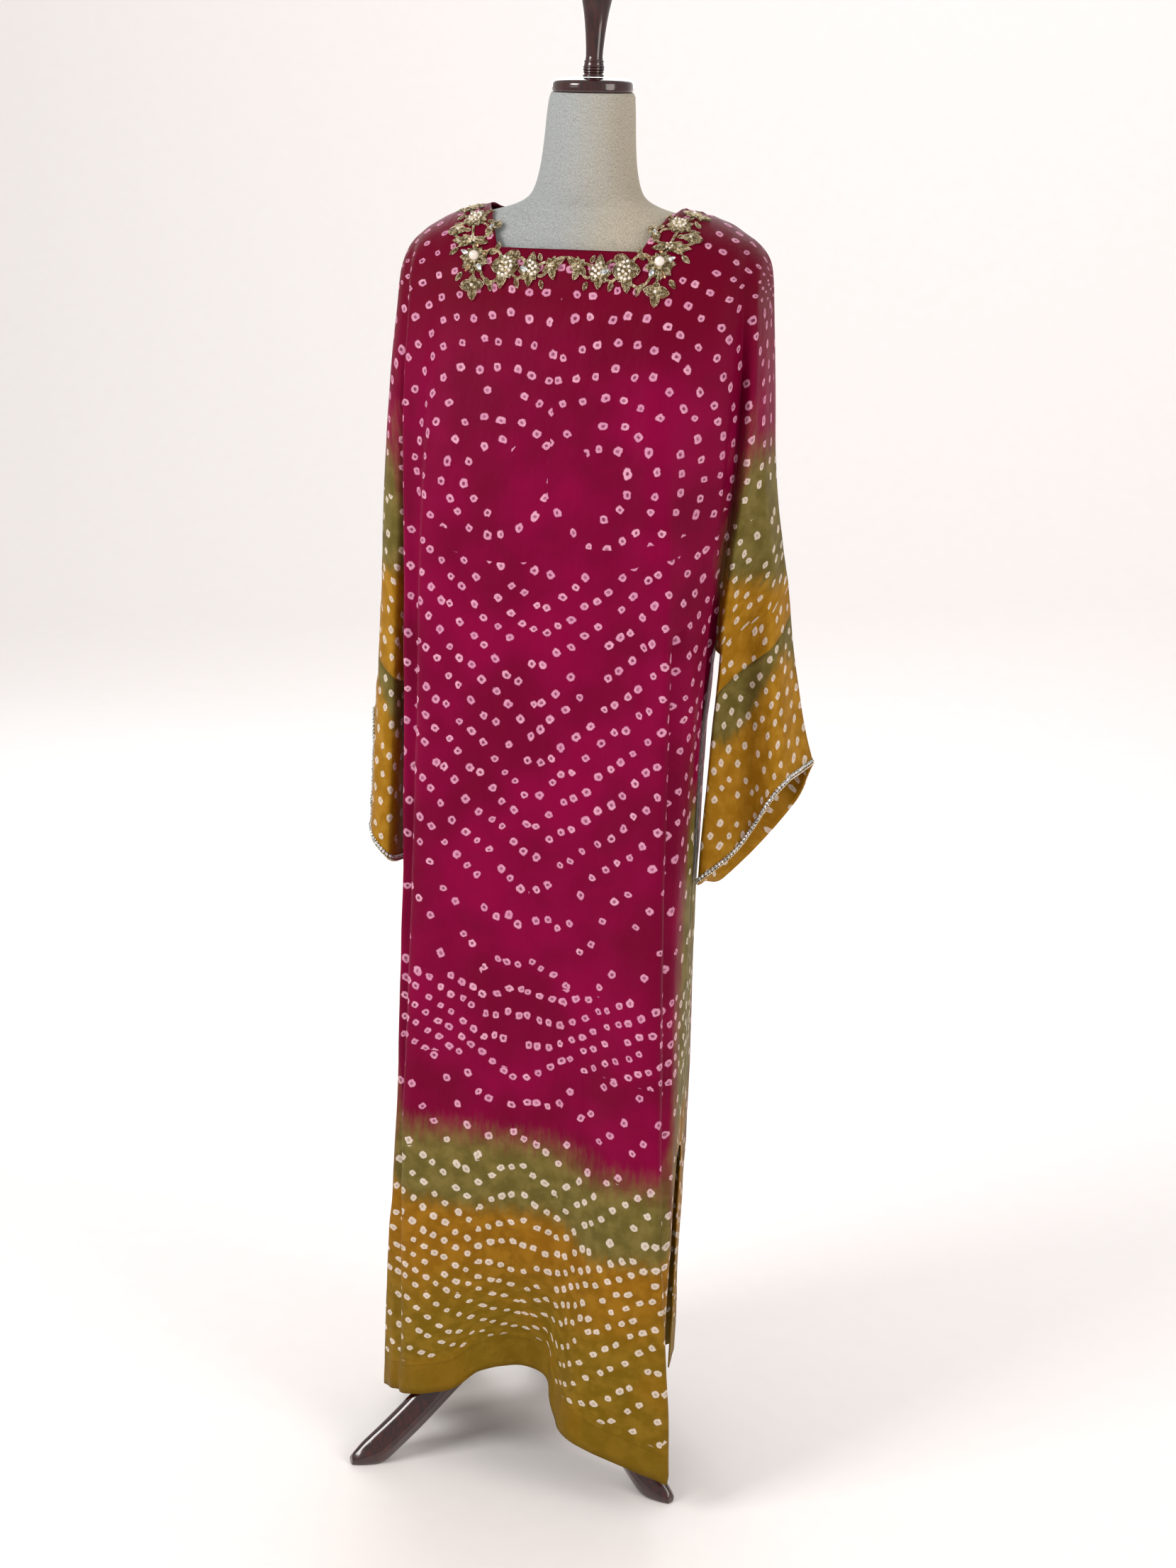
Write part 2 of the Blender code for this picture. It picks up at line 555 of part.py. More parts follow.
def sleeve_end(part, front, back):
    under_x = UNDERARM_LEFT_X if part == "left" else UNDERARM_RIGHT_X
    under_y = UNDERARM_LEFT_Y if part == "left" else UNDERARM_RIGHT_Y
    cuffs = CUFF_LEFT if part == "left" else CUFF_RIGHT
    points = {}
    faces = []
    rings = []
    for step in range(CUFF_STEPS + 1):
        down = step / CUFF_STEPS
        ring = []
        for is_back, table, steps in ((False, front[0], front[1]), (True, back[0], back[1])):
            controls = []
            for index in range(len(table) + 1):
                share = index / len(table)
                top = seam_height(part, share)
                z = top + (cuff_height(cuffs, share, is_back) - top) * down
                if is_back and index in (0, len(table)):
                    z = top + (cuff_height(cuffs, share, False) - top) * down
                if index == 0:
                    x = curve_at(SLEEVE_LEVELS[3:], under_x, z)
                    y = curve_at(SLEEVE_LEVELS[3:], under_y, z)
                else:
                    x, y = table[index - 1].plan(z)
                controls.append(Vector((x, y, z)))
            made = across(controls, [2] + list(steps))
            if is_back:
                made = made[1:-1]
                made.reverse()
            ring.extend(made)
        rings.append(ring)
    count = len(rings[0])
    for step, ring in enumerate(rings):
        for col, point in enumerate(ring):
            points[("end", part, step, col)] = point
    for step in range(CUFF_STEPS):
        for col in range(count):
            after = (col + 1) % count
            keys = [("end", part, step, col), ("end", part, step, after),
                    ("end", part, step + 1, after), ("end", part, step + 1, col)]
            if part == "right":
                keys.reverse()
            faces.append(keys)
    return points, faces


# Normals of the whole sewn surface, with the shoulder seam's set by its slope
def surface_normals(points, faces, forks):
    normals = {key: Vector((0.0, 0.0, 0.0)) for key in points}
    turned = {key: 0.0 for key in points}
    for keys in faces:
        corners = [points[key] for key in keys]
        face = Vector((0.0, 0.0, 0.0))
        for i, corner in enumerate(corners):
            face += corner.cross(corners[(i + 1) % len(corners)])
        for i, key in enumerate(keys):
            to_next = corners[(i + 1) % len(corners)] - corners[i]
            to_last = corners[i - 1] - corners[i]
            if to_next.length < 1e-9 or to_last.length < 1e-9:
                continue
            angle = to_next.angle(to_last, 0.0)
            normals[key] += face.normalized() * angle
            turned[key] += angle
    depths = {}
    for key, normal in normals.items():
        depths[key] = CLOTH * min(DEEPEST_FOLD, turned[key] / max(normal.length, 1e-6))
        if key[0] in ("front", "back") and key[2] == 0:
            normal = shoulder_normal(points[key].x)
            depths[key] = CLOTH
        if key in forks:
            normal = Vector((0.0, 0.0, -1.0))
            depths[key] = CLOTH * DEEPEST_FOLD
        normals[key] = normal.normalized()
    return normals, depths


# Thickens a surface inward into one closed wall, moved back from its seams
def wall(name, points, normals, depths, faces, seams, made_of):
    used = []
    seen = set()
    for keys in faces:
        for key in keys:
            if key not in seen:
                seen.add(key)
                used.append(key)
    index = {key: i for i, key in enumerate(used)}
    away = {}
    touching = {}
    for keys in faces:
        middle = sum((points[key] for key in keys), Vector((0.0, 0.0, 0.0))) / len(keys)
        for key in keys:
            if key in seams:
                pull = middle - points[key]
                pull -= normals[key] * pull.dot(normals[key])
                away[key] = away.get(key, Vector((0.0, 0.0, 0.0))) + pull.normalized()
                touching[key] = touching.get(key, 0) + 1
    outer = []
    for key in used:
        place = points[key].copy()
        if key in away:
            size = CORNER_SEAM if touching[key] == 1 else HALF_SEAM
            if key[0] in ("front", "back") and key[2] == 0:
                size = SHOULDER_SEAM
            place += away[key].normalized() * size
        outer.append(place)
    inner = [place - normals[key] * depths[key] for place, key in zip(outer, used)]
    count = len(used)
    polygons = []
    edges = {}
    for keys in faces:
        ids = [index[key] for key in keys]
        if (outer[ids[0]] - outer[ids[2]]).length < (outer[ids[1]] - outer[ids[3]]).length:
            halves = ([ids[0], ids[1], ids[2]], [ids[0], ids[2], ids[3]])
        else:
            halves = ([ids[0], ids[1], ids[3]], [ids[1], ids[2], ids[3]])
        for half in halves:
            polygons.append(half)
            polygons.append([i + count for i in reversed(half)])
        for i, a in enumerate(ids):
            b = ids[(i + 1) % len(ids)]
            edges[(a, b)] = edges.get((a, b), 0) + 1
    for a, b in edges:
        if (b, a) in edges:
            continue
        if str(used[a]) < str(used[b]):
            polygons.append([b, a, b + count])
            polygons.append([a, a + count, b + count])
        else:
            polygons.append([b, a, a + count])
            polygons.append([b, a + count, b + count])
    return solid(name, outer + inner, polygons, made_of)


def solid(name, points, polygons, made_of, smooth=True):
    mesh = bpy.data.meshes.new(name)
    mesh.from_pydata([tuple(p) for p in points], [], polygons)
    mesh.validate()
    if smooth:
        for polygon in mesh.polygons:
            polygon.use_smooth = True
    mesh.materials.append(made_of)
    made = bpy.data.objects.new(name, mesh)
    bpy.context.scene.collection.objects.link(made)
    return made


# Closed loft through rings of equal count, capped flat at both ends
def loft(name, rings, made_of, smooth=True):
    count = len(rings[0])
    points = [p for ring in rings for p in ring]
    polygons = [list(reversed(range(count)))]
    for i in range(len(rings) - 1):
        for j in range(count):
            k = (j + 1) % count
            polygons.append([i * count + j, i * count + k,
                             (i + 1) * count + k, (i + 1) * count + j])
    polygons.append([(len(rings) - 1) * count + j for j in range(count)])
    return solid(name, points, polygons, made_of, smooth)


def turned(name, profile, made_of):
    rings = []
    for z, radius in profile:
        rings.append([settle(Vector((radius * math.cos(2 * math.pi * j / TURNED_SIDES),
                                     radius * math.sin(2 * math.pi * j / TURNED_SIDES), z)))
                      for j in range(TURNED_SIDES)])
    return loft(name, rings, made_of)


def torso(name, made_of):
    rings = []
    power = 2.0 / TORSO_ROUNDING
    for z, half, front, back in TORSO:
        ring = []
        blend = max(0.0, min(1.0, (1.50 - z) / 0.04))
        flat = 1.0 + (power - 1.0) * blend
        for j in range(TORSO_SIDES):
            turn = 2 * math.pi * j / TORSO_SIDES
            c = math.cos(turn)
            s = math.sin(turn)
            x = half * math.copysign(abs(c) ** flat, c)
            depth = back if s > 0 else front
            ring.append(settle(Vector((x, depth * math.copysign(abs(s) ** flat, s), z))))
        rings.append(ring)
    return loft(name, rings, made_of)


def leg(name, turn, made_of):
    rings = []
    angle = math.radians(turn)
    out = Vector((math.sin(angle), -math.cos(angle), 0.0))
    over = Vector((math.cos(angle), math.sin(angle), 0.0))
    for reach, half, top, ridge, under in LEG:
        shoulder = under + (top - under) * 0.45
        foot = half * (0.72 if under == 0.0 else 0.55)
        low = under + (0.0 if under > 0.0 else 0.0)
        outline = ((foot, low), (half, shoulder), (ridge, top), (-ridge, top), (-half, shoulder),
                   (-foot, low))
        rings.append([out * reach + over * w + Vector((0.0, 0.0, h)) for w, h in outline])
    return loft(name, rings, made_of)


silk = material("bandhani silk", MAGENTA, 0.45)
silk_end = material("dyed silk sleeve end", MUSTARD, 0.45)
linen = material("linen cover", LINEN, 0.85)
wood = material("polished mahogany", MAHOGANY, 0.15)
gold = material("gold thread work", OLD_GOLD, 0.4, 0.6)
pearl = material("pearl bead", PEARL, 0.25)

# Both panels share their seam points, so that the walls meet along them
front_panel = Panel("front", FRONT_BODY, SLEEVE_LEFT_FRONT, SLEEVE_RIGHT_FRONT,
                    FRONT_NECK_ROW, NECK_CORNER_ANGLE)
back_panel = Panel("back", BACK_BODY, SLEEVE_LEFT_BACK, SLEEVE_RIGHT_BACK,
                   BACK_NECK_ROW, BACK_NECK_ANGLE)

cloth_points = dict(back_panel.points)
for key, point in front_panel.points.items():
    twin = back_panel.points.get(key)
    cloth_points[key] = point if twin is None else (point + twin) / 2
cloth_faces = front_panel.faces + back_panel.faces

ends = {}
for part, front_table, back_table in (
        ("left", SLEEVE_LEFT_FRONT, SLEEVE_LEFT_BACK),
        ("right", SLEEVE_RIGHT_FRONT, SLEEVE_RIGHT_BACK)):
    ends[part] = sleeve_end(part, sleeve_columns(front_table), sleeve_columns(back_table))


# The top ring of a sleeve end lies on the last sleeve row of the two panels
def end_joins(part):
    joins = {}
    row = front_panel.fork_row + FORK_ROWS - FORK_STEP
    front_count = front_panel.sleeve_count[part]
    back_count = back_panel.sleeve_count[part]
    for col in range(front_count + 1):
        joins[("end", part, 0, col)] = front_panel.place(part, row, col)
    for col in range(1, back_count):
        joins[("end", part, 0, front_count + back_count - col)] = back_panel.place(part, row, col)
    return joins


panel_seams = set(front_panel.points) & set(back_panel.points)
for panel in (front_panel, back_panel):
    panel_seams |= {key for key in panel.points if key[2] == 0 and key[0] in ("front", "back")}

end_faces = {}
for part in ("left", "right"):
    joins = end_joins(part)
    points, faces = ends[part]
    for keys in faces:
        keys[:] = [joins.get(key, key) for key in keys]
    for key, point in points.items():
        if key not in joins:
            cloth_points[key] = point
    panel_seams |= set(joins.values())
    end_faces[part] = faces
    cloth_faces = cloth_faces + faces

forks = {("seam", "body " + part, front_panel.fork_row) for part in ("left", "right")}
cloth_normals, cloth_depths = surface_normals(cloth_points, cloth_faces, forks)
for key, point in cloth_points.items():
    cloth_points[key] = settle(point)
end_seams = set(end_joins("left").values()) | set(end_joins("right").values())

front_object = wall("front_panel", cloth_points, cloth_normals, cloth_depths, front_panel.faces,
                    panel_seams, silk)
wall("back_panel", cloth_points, cloth_normals, cloth_depths, back_panel.faces, panel_seams, silk)
for part in ("left", "right"):
    wall("sleeve_end_" + part, cloth_points, cloth_normals, cloth_depths, end_faces[part],
         end_seams, silk_end)

tree = BVHTree.FromPolygons([v.co for v in front_object.data.vertices],
                            [list(polygon.vertices) for polygon in front_object.data.polygons])


# A place above the front of the cloth; beyond the neckline it follows the line the cloth had
def on_front(x, rise, height):
    turn = math.pi / 2 - max(0.0, rise) / RISE_RADIUS
    inside = Vector((x, 0.010, CHEST_Z + min(0.0, rise)))
    out = Vector((0.0, -math.sin(turn), math.cos(turn)))
    start = settle(inside + out * 0.2)
    way = (settle(inside) - start).normalized()
    place, normal = tree.ray_cast(start, way, 0.2)[:2]
    if place is None or normal.dot(way) > -0.5:
        a = (out.y / CHEST_DEPTH) ** 2 + (out.z / CHEST_RISE) ** 2
        b = 0.005 * out.y / CHEST_DEPTH ** 2
        c = (0.005 / CHEST_DEPTH) ** 2 - 1.0
        place = settle(inside + out * ((-b + math.sqrt(b * b - a * c)) / a))
        height += OVERHANG_LIFT
    return place - way * height


def lobed_reach(angle, middle, lobes):
    reach = middle
    for direction, length, half in lobes:
        apart = abs((angle - direction + 180.0) % 360.0 - 180.0)
        share = max(0.0, 1.0 - apart / half)
        reach = max(reach, middle + (length - middle) * share * (1.6 - 0.6 * share))
    return reach / 1000.0


def motif_angles(lobes):
    wanted = []
    for direction, length, half in lobes:
        for turn in (direction, direction - half / 2, direction + half / 2):
            wanted.append(turn % 360.0)
    kept = []
    for turn in wanted[::3] + wanted:
        if all(abs((turn - other + 180.0) % 360.0 - 180.0) > 7.0 for other in kept):
            kept.append(turn)
    kept.sort()
    filled = []
    for i, turn in enumerate(kept):
        gap = (kept[(i + 1) % len(kept)] - turn) % 360.0
        parts = max(1, round(gap / 22.0))
        filled.extend(turn + gap * k / parts for k in range(parts))
    return filled


def motif(name, sign, x, rise, middle, height, lobes, made_of):
    angles = motif_angles(lobes)
    if sign < 0:
        angles.reverse()
    high = height / 1000.0
    levels = ((0.6, MOTIF_SHOULDER), (1.0, MOTIF_EDGE), (0.95, MOTIF_LIFT), (0.5, MOTIF_LIFT))
    points = [on_front(sign * x / 1000.0, rise / 1000.0, high)]
    for part, level in levels:
        for angle in angles:
            reach = lobed_reach(angle, middle, lobes) * part
            across_by = math.cos(math.radians(angle)) * reach
            up_by = math.sin(math.radians(angle)) * reach
            points.append(on_front(sign * (x / 1000.0 + across_by), rise / 1000.0 + up_by, level))
    points.append(on_front(sign * x / 1000.0, rise / 1000.0, MOTIF_LIFT))
    count = len(angles)
    last = len(points) - 1
    polygons = []
    for j in range(count):
        k = (j + 1) % count
        polygons.append([0, 1 + j, 1 + k])
        polygons.append([last, last - count + k, last - count + j])
        for i in range(len(levels) - 1):
            a = 1 + i * count
            polygons.append([a + j, a + count + j, a + k])
            polygons.append([a + k, a + count + j, a + count + k])
    return solid(name, points, polygons, made_of)


def bead(name, middle, radius, made_of):
    rings = []
    for i in range(1, 8):
        turn = math.pi * i / 8
        rings.append([middle + Vector((radius * math.sin(turn) * math.cos(2 * math.pi * j / 12),
                                       radius * math.sin(turn) * math.sin(2 * math.pi * j / 12),
                                       -radius * math.cos(turn))) for j in range(12)])
    return loft(name, rings, made_of)


for part, sign in (("left", -1), ("right", 1)):
    for name, x, rise, middle, height, lobes in MOTIFS:
        motif("motif_" + name + "_" + part, sign, x, rise, middle, height, lobes, gold)
        if name == "main_flower":
            lift = height / 1000.0 + 0.0007 + PEARL_RADIUS
            bead("pearl_" + part, on_front(sign * x / 1000.0, rise / 1000.0, lift), PEARL_RADIUS, pearl)

# Dress form and stand
torso("form_torso", linen)
turned("neck_cap", NECK_CAP, wood)
turned("finial", FINIAL, wood)
turned("pole", POLE, wood)
turned("hub", HUB, wood)
for leg_name, leg_turn in LEG_TURNS:
    leg(leg_name, leg_turn, wood)

# Stands the whole on the origin
parts = list(bpy.context.scene.objects)
low = [min((o.matrix_world @ v.co)[axis] for o in parts for v in o.data.vertices) for axis in range(3)]
high = [max((o.matrix_world @ v.co)[axis] for o in parts for v in o.data.vertices) for axis in range(3)]
shift = Vector((-(low[0] + high[0]) / 2, -(low[1] + high[1]) / 2, -low[2]))
for one in parts:
    for vertex in one.data.vertices:
        vertex.co += shift
    one.data.update()
print("shift", [round(value, 5) for value in shift])
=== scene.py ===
# %% [markdown]
# # A tie-dyed silk kaftan on a dress form
#
# The real piece is two lengths of soft silk, tied in hundreds of tiny knots before dyeing, so that
# each knot leaves a pale ring. The two lengths are joined at the shoulders and sides, with wide
# sleeves cut in one with the body. Gold thread work frames the neckline and a trim of small beads
# and cut stones edges the cuffs. It hangs on a limbless dress form with a turned cap and stand.
#
# This script dresses the plain solids of the part. It rebuilds the cloth as one thin surface from
# the same sections, because only then does each point know how far it lies from the middle of the
# cloth, and the tied dots can follow the cloth around its folds.

# %% Tools and the plain part
import math

import bmesh
import bpy
from mathutils import Matrix, Vector, noise
from mathutils.bvhtree import BVHTree


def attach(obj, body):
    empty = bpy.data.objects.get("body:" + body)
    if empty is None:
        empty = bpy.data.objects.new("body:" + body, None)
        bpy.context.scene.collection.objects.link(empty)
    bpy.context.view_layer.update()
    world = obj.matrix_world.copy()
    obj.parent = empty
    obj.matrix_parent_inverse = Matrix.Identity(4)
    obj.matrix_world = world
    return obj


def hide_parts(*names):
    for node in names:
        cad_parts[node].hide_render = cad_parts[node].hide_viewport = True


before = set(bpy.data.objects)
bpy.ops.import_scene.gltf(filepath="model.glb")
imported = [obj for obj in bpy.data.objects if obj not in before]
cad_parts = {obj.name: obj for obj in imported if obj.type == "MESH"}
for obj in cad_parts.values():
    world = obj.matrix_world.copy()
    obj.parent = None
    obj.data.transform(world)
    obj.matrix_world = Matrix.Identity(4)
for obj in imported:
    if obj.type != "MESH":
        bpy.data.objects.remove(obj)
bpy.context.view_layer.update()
print("solids", sorted(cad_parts))

# %% [markdown]
# ## Sizes
#
# The cloth hangs from a sloping shoulder line. Each column of the tables is a fold or an edge that
# runs down the garment, with its place at twelve heights; the sleeves have tables of their own.

# %% Frame, shoulders and rows
# The neck axis of the form stands here in the frame of the part
FORM_AXIS = Vector((-0.0256, -0.03351, 0.0))
CLOTH = 0.0016
CHEST_Z = 1.400
# Shoulder seam: distance from the centre, height, depth
SHOULDER = ((.108, 1.4900, .0040), (.120, 1.4880, .0060), (.145, 1.4815, .0102),
            (.165, 1.4715, .0135), (.180, 1.4622, .0160), (.190, 1.4532, .0177),
            (.198, 1.4410, .0190), (.2045, 1.4220, .0201))
# One shoulder of the form stands a little higher, and the cloth hangs from it
FORM_TILT = 2.0
TILT_FROM_Z = 1.10
NECK_CORNER_ANGLE = 55.0
BACK_NECK_ANGLE = 42.0
SLIT_TOP_Z = 0.42

# Rows over the shoulder, in degrees from the shoulder seam down to the chest
SHOULDER_ROWS = (0.0, 11.0, 24.0, 40.0, 55.0, 66.0, 78.0, 90.0)
FRONT_NECK_ROW = 4
BACK_NECK_ROW = 3

# Rows that are level all round, then rows down to the hem
CHEST_ROWS = (1.36, 1.32, 1.28, 1.24, 1.20, 1.16)
FORK_START_Z = 1.16
SEAM_INNER_Z = 0.948
FORK_ROWS = 6
FORK_STEP = 4
BODY_ROWS = (0.985, 0.950, 0.91, 0.86, 0.81, 0.76, 0.71, 0.66, 0.61, 0.56, 0.51, 0.465, 0.42,
             0.37, 0.32)
HEM_STEPS = 6

print("rows over the shoulder", len(SHOULDER_ROWS), "and down the body", len(CHEST_ROWS + BODY_ROWS))

# %% Sections of the front
# Heights of the sections in the tables of body columns
LEVELS = (1.40, 1.30, 1.20, 1.12, 1.03, 0.90, 0.75, 0.60, 0.45, 0.30, 0.18, 0.05)

# Front of the body: name, x at the shoulder, x by level, y by level, hem height, steps to the next
FRONT_BODY = (
    ("side left", -0.184,
     (-.180, -.180, -.178, -.174, -.172, -.158, -.155, -.155, -.157, -.160, -.165, -.170),
     (-.055, -.054, -.050, -.045, -.024, .000, .000, .002, .000, -.010, -.020, -.030), .054, 2),
    ("fold left", -0.172,
     (-.172, -.174, -.170, -.166, -.163, -.159, -.156, -.154, -.153, -.158, -.163, -.167),
     (-.075, -.082, -.085, -.088, -.090, -.088, -.088, -.088, -.088, -.084, -.072, -.056), .0735, 2),
    ("dip left", -0.150,
     (-.150, -.152, -.150, -.148, -.146, -.145, -.144, -.143, -.142, -.145, -.147, -.150),
     (-.083, -.090, -.095, -.096, -.097, -.095, -.095, -.096, -.097, -.095, -.090, -.082), .0815, 2),
    ("edge left", -0.130,
     (-.126, -.132, -.136, -.137, -.136, -.134, -.134, -.135, -.137, -.136, -.132, -.124),
     (-.093, -.110, -.121, -.124, -.124, -.122, -.121, -.120, -.118, -.112, -.106, -.100), .0885, 2),
    ("neck left", -0.108,
     (-.0775, -.082, -.086, -.088, -.088, -.088, -.088, -.088, -.088, -.084, -.076, -.066),
     (-.099, -.118, -.128, -.130, -.130, -.128, -.127, -.126, -.123, -.117, -.111, -.107), .1080, 2),
    ("arch left", -0.045,
     (-.040, -.041, -.043, -.044, -.044, -.044, -.044, -.044, -.044, -.042, -.038, -.032),
     (-.101, -.121, -.131, -.133, -.132, -.130, -.129, -.128, -.124, -.115, -.108, -.104), .137, 2),
    ("centre", 0.0,
     (.000, .000, .000, .000, .000, .000, .000, .000, .000, .004, .010, .014),
     (-.102, -.121, -.131, -.133, -.132, -.130, -.129, -.128, -.124, -.111, -.099, -.092), .147, 2),
    ("arch right", 0.045,
     (.040, .041, .043, .044, .044, .043, .042, .041, .040, .040, .041, .043),
     (-.101, -.120, -.131, -.133, -.133, -.132, -.131, -.130, -.125, -.113, -.103, -.094), .138, 2),
    ("neck right", 0.108,
     (.0775, .082, .086, .088, .087, .085, .083, .080, .074, .064, .059, .056),
     (-.099, -.118, -.130, -.133, -.134, -.134, -.134, -.132, -.128, -.121, -.119, -.120), .1010, 2),
    ("lobe right", 0.121,
     (.100, .106, .113, .115, .116, .117, .118, .117, .112, .100, .090, .083),
     (-.098, -.117, -.131, -.135, -.138, -.139, -.140, -.142, -.145, -.150, -.156, -.159), .0935, 3),
    ("edge right", 0.135,
     (.118, .127, .135, .139, .142, .147, .152, .159, .167, .178, .190, .199),
     (-.094, -.111, -.124, -.131, -.136, -.139, -.141, -.144, -.149, -.154, -.155, -.146), .0505, 1),
    ("dip right", 0.152,
     (.142, .153, .158, .160, .161, .162, .165, .170, .177, .187, .196, .202),
     (-.088, -.099, -.100, -.100, -.100, -.102, -.106, -.113, -.125, -.140, -.145, -.136), .049, 2),
    ("fold right", 0.171,
     (.173, .178, .178, .175, .171, .168, .169, .173, .179, .182, .187, .194),
     (-.077, -.081, -.076, -.068, -.056, -.050, -.055, -.066, -.088, -.117, -.129, -.123), .053, 2),
    ("side right", 0.182,
     (.185, .188, .187, .181, .174, .165, .166, .168, .171, .170, .172, .177),
     (-.056, -.048, -.042, -.038, -.022, .000, .000, -.004, -.025, -.070, -.092, -.100), .058, 0),
)

# %% Sections of the back
# The same columns in the table
BACK_BODY = (
    ("side left", -0.184,
     (-.180, -.180, -.178, -.174, -.172, -.158, -.155, -.155, -.157, -.163, -.168, -.170),
     (.062, .060, .054, .044, .020, .000, .000, .002, .008, .018, .022, .020), .026, 2),
    ("blade left", -0.152,
     (-.152, -.152, -.150, -.149, -.148, -.146, -.146, -.149, -.153, -.158, -.162, -.165),
     (.084, .092, .094, .092, .090, .092, .096, .100, .104, .108, .112, .114), .022, 2),
    ("neck left", -0.108,
     (-.088, -.090, -.090, -.090, -.090, -.090, -.090, -.090, -.091, -.092, -.094, -.096),
     (.096, .108, .112, .114, .118, .124, .131, .137, .143, .149, .156, .160), .036, 2),
    ("centre", 0.0,
     (.000, .000, .000, .000, .000, .000, .000, .000, .000, .000, .000, .000),
     (.098, .112, .114, .115, .118, .122, .126, .129, .132, .136, .142, .146), .112, 2),
    ("neck right", 0.108,
     (.088, .090, .090, .090, .090, .090, .090, .090, .091, .092, .094, .096),
     (.096, .108, .112, .114, .118, .124, .131, .137, .143, .149, .156, .160), .040, 2),
    ("blade right", 0.152,
     (.152, .152, .150, .149, .148, .147, .148, .150, .152, .154, .157, .161),
     (.084, .092, .094, .092, .090, .092, .096, .100, .104, .107, .108, .106), .094, 2),
    ("side right", 0.182,
     (.180, .178, .174, .172, .172, .165, .166, .168, .170, .168, .167, .164),
     (.062, .060, .054, .042, .018, .000, .000, -.004, .006, .028, .044, .052), .092, 0),
)

# %% Sections of the sleeves
PARTS = ("left", "right")
# Heights of the sections
SLEEVE_LEVELS = (1.40, 1.30, 1.20, 1.12, 1.06, 1.00, 0.92, 0.85, 0.75)

# Name, x at the shoulder, x and y by level, steps to the next; "right" is the wearer's left (+X)
OVERARM_RIGHT = ("overarm", 0.2030,
                 (.2035, .214, .225, .240, .252, .262, .278, .300, .311),
                 (.020, .020, .020, .020, .020, .022, .026, .030, .032), 0)
OVERARM_LEFT = ("overarm", -0.2025,
                (-.206, -.213, -.219, -.223, -.225, -.227, -.234, -.240, -.244),
                (.021, .024, .028, .033, .038, .044, .050, .055, .058), 0)
SLEEVE_RIGHT_FRONT = (
    ("inner ridge", 0.194,
     (.197, .202, .200, .192, .187, .185, .181, .179, .177),
     (-.048, -.058, -.058, -.054, -.050, -.047, -.047, -.047, -.047), 2),
    ("middle dip", 0.1975,
     (.2005, .208, .210, .208, .208, .209, .213, .216, .219),
     (-.032, -.044, -.040, -.034, -.028, -.025, -.024, -.024, -.026), 2),
    ("outer ridge", 0.2005,
     (.2025, .212, .219, .229, .236, .244, .252, .260, .268),
     (-.010, -.020, -.024, -.026, -.028, -.030, -.032, -.034, -.036), 2),
    OVERARM_RIGHT,
)
SLEEVE_RIGHT_BACK = (
    ("inner ridge", 0.191,
     (.192, .190, .188, .187, .189, .191, .192, .192, .192),
     (.064, .066, .060, .052, .046, .044, .044, .045, .045), 2),
    ("outer ridge", 0.198,
     (.203, .210, .216, .224, .232, .240, .250, .263, .270),
     (.046, .050, .050, .050, .050, .052, .056, .060, .062), 2),
    OVERARM_RIGHT,
)
SLEEVE_LEFT_FRONT = (
    ("inner ridge", -0.190,
     (-.190, -.189, -.187, -.185, -.184, -.182, -.180, -.179, -.178),
     (-.046, -.054, -.055, -.056, -.058, -.060, -.064, -.068, -.072), 2),
    ("middle dip", -0.1945,
     (-.198, -.201, -.202, -.202, -.203, -.203, -.203, -.203, -.203),
     (-.031, -.040, -.041, -.042, -.043, -.045, -.050, -.054, -.058), 2),
    ("outer ridge", -0.199,
     (-.203, -.209, -.213, -.214, -.214, -.214, -.215, -.216, -.217),
     (-.010, -.014, -.013, -.012, -.011, -.010, -.011, -.013, -.015), 2),
    OVERARM_LEFT,
)
SLEEVE_LEFT_BACK = (
    ("inner ridge", -0.191,
     (-.192, -.190, -.187, -.185, -.185, -.185, -.185, -.185, -.185),
     (.066, .068, .062, .056, .052, .050, .048, .048, .048), 2),
    ("outer ridge", -0.198,
     (-.203, -.207, -.210, -.212, -.213, -.214, -.217, -.221, -.224),
     (.048, .054, .058, .062, .066, .070, .074, .077, .079), 2),
    OVERARM_LEFT,
)

# %% Underarm seams and cuffs
# Underarm seam of each sleeve below the fork: x and y at the last six sleeve levels
UNDERARM = {"left": ((-.178, -.178, -.174, -.173, -.173, -.173),
                     (-.005, -.006, -.008, -.010, -.012, -.014)),
            "right": ((.180, .180, .179, .179, .177, .176), (-.005, -.004, .000, .000, .000, .000))}
# Height of the slanting seam of the sleeve ends at the overarm
SEAM_OUTER_Z = {"left": 1.005, "right": 1.062}
CUFF_STEPS = 7
# Cuff heights: share from underarm to overarm, front edge, back edge
CUFF = {"left": ((0.0, .735, .735), (0.25, .750, .740), (0.333, .756, .760), (0.5, .768, .815),
                 (0.667, .774, .8645), (0.75, .780, .875), (1.0, .889, .889)),
        "right": ((0.0, .7440, .7440), (0.25, .7570, .7330), (0.333, .766, .736), (0.5, .795, .776),
                  (0.667, .843, .829), (0.75, .868, .856), (1.0, .889, .889))}
print("seams of the sleeve ends", SEAM_OUTER_Z)


# %% [markdown]
# ## Smooth curves
#
# Between two measured places cloth bends and doesn't break. A draughtsman would lay a bent lath
# through the marks; here one short formula does it, both down a column and across a row.

# %% Curves
# Goes from a to b, leaves a in one way and reaches b in another
def bend(share, a, way_a, b, way_b):
    s2 = share * share
    s3 = s2 * share
    return (a * (2 * s3 - 3 * s2 + 1) + way_a * (s3 - 2 * s2 + share)
            + b * (3 * s2 - 2 * s3) + way_b * (s3 - s2))


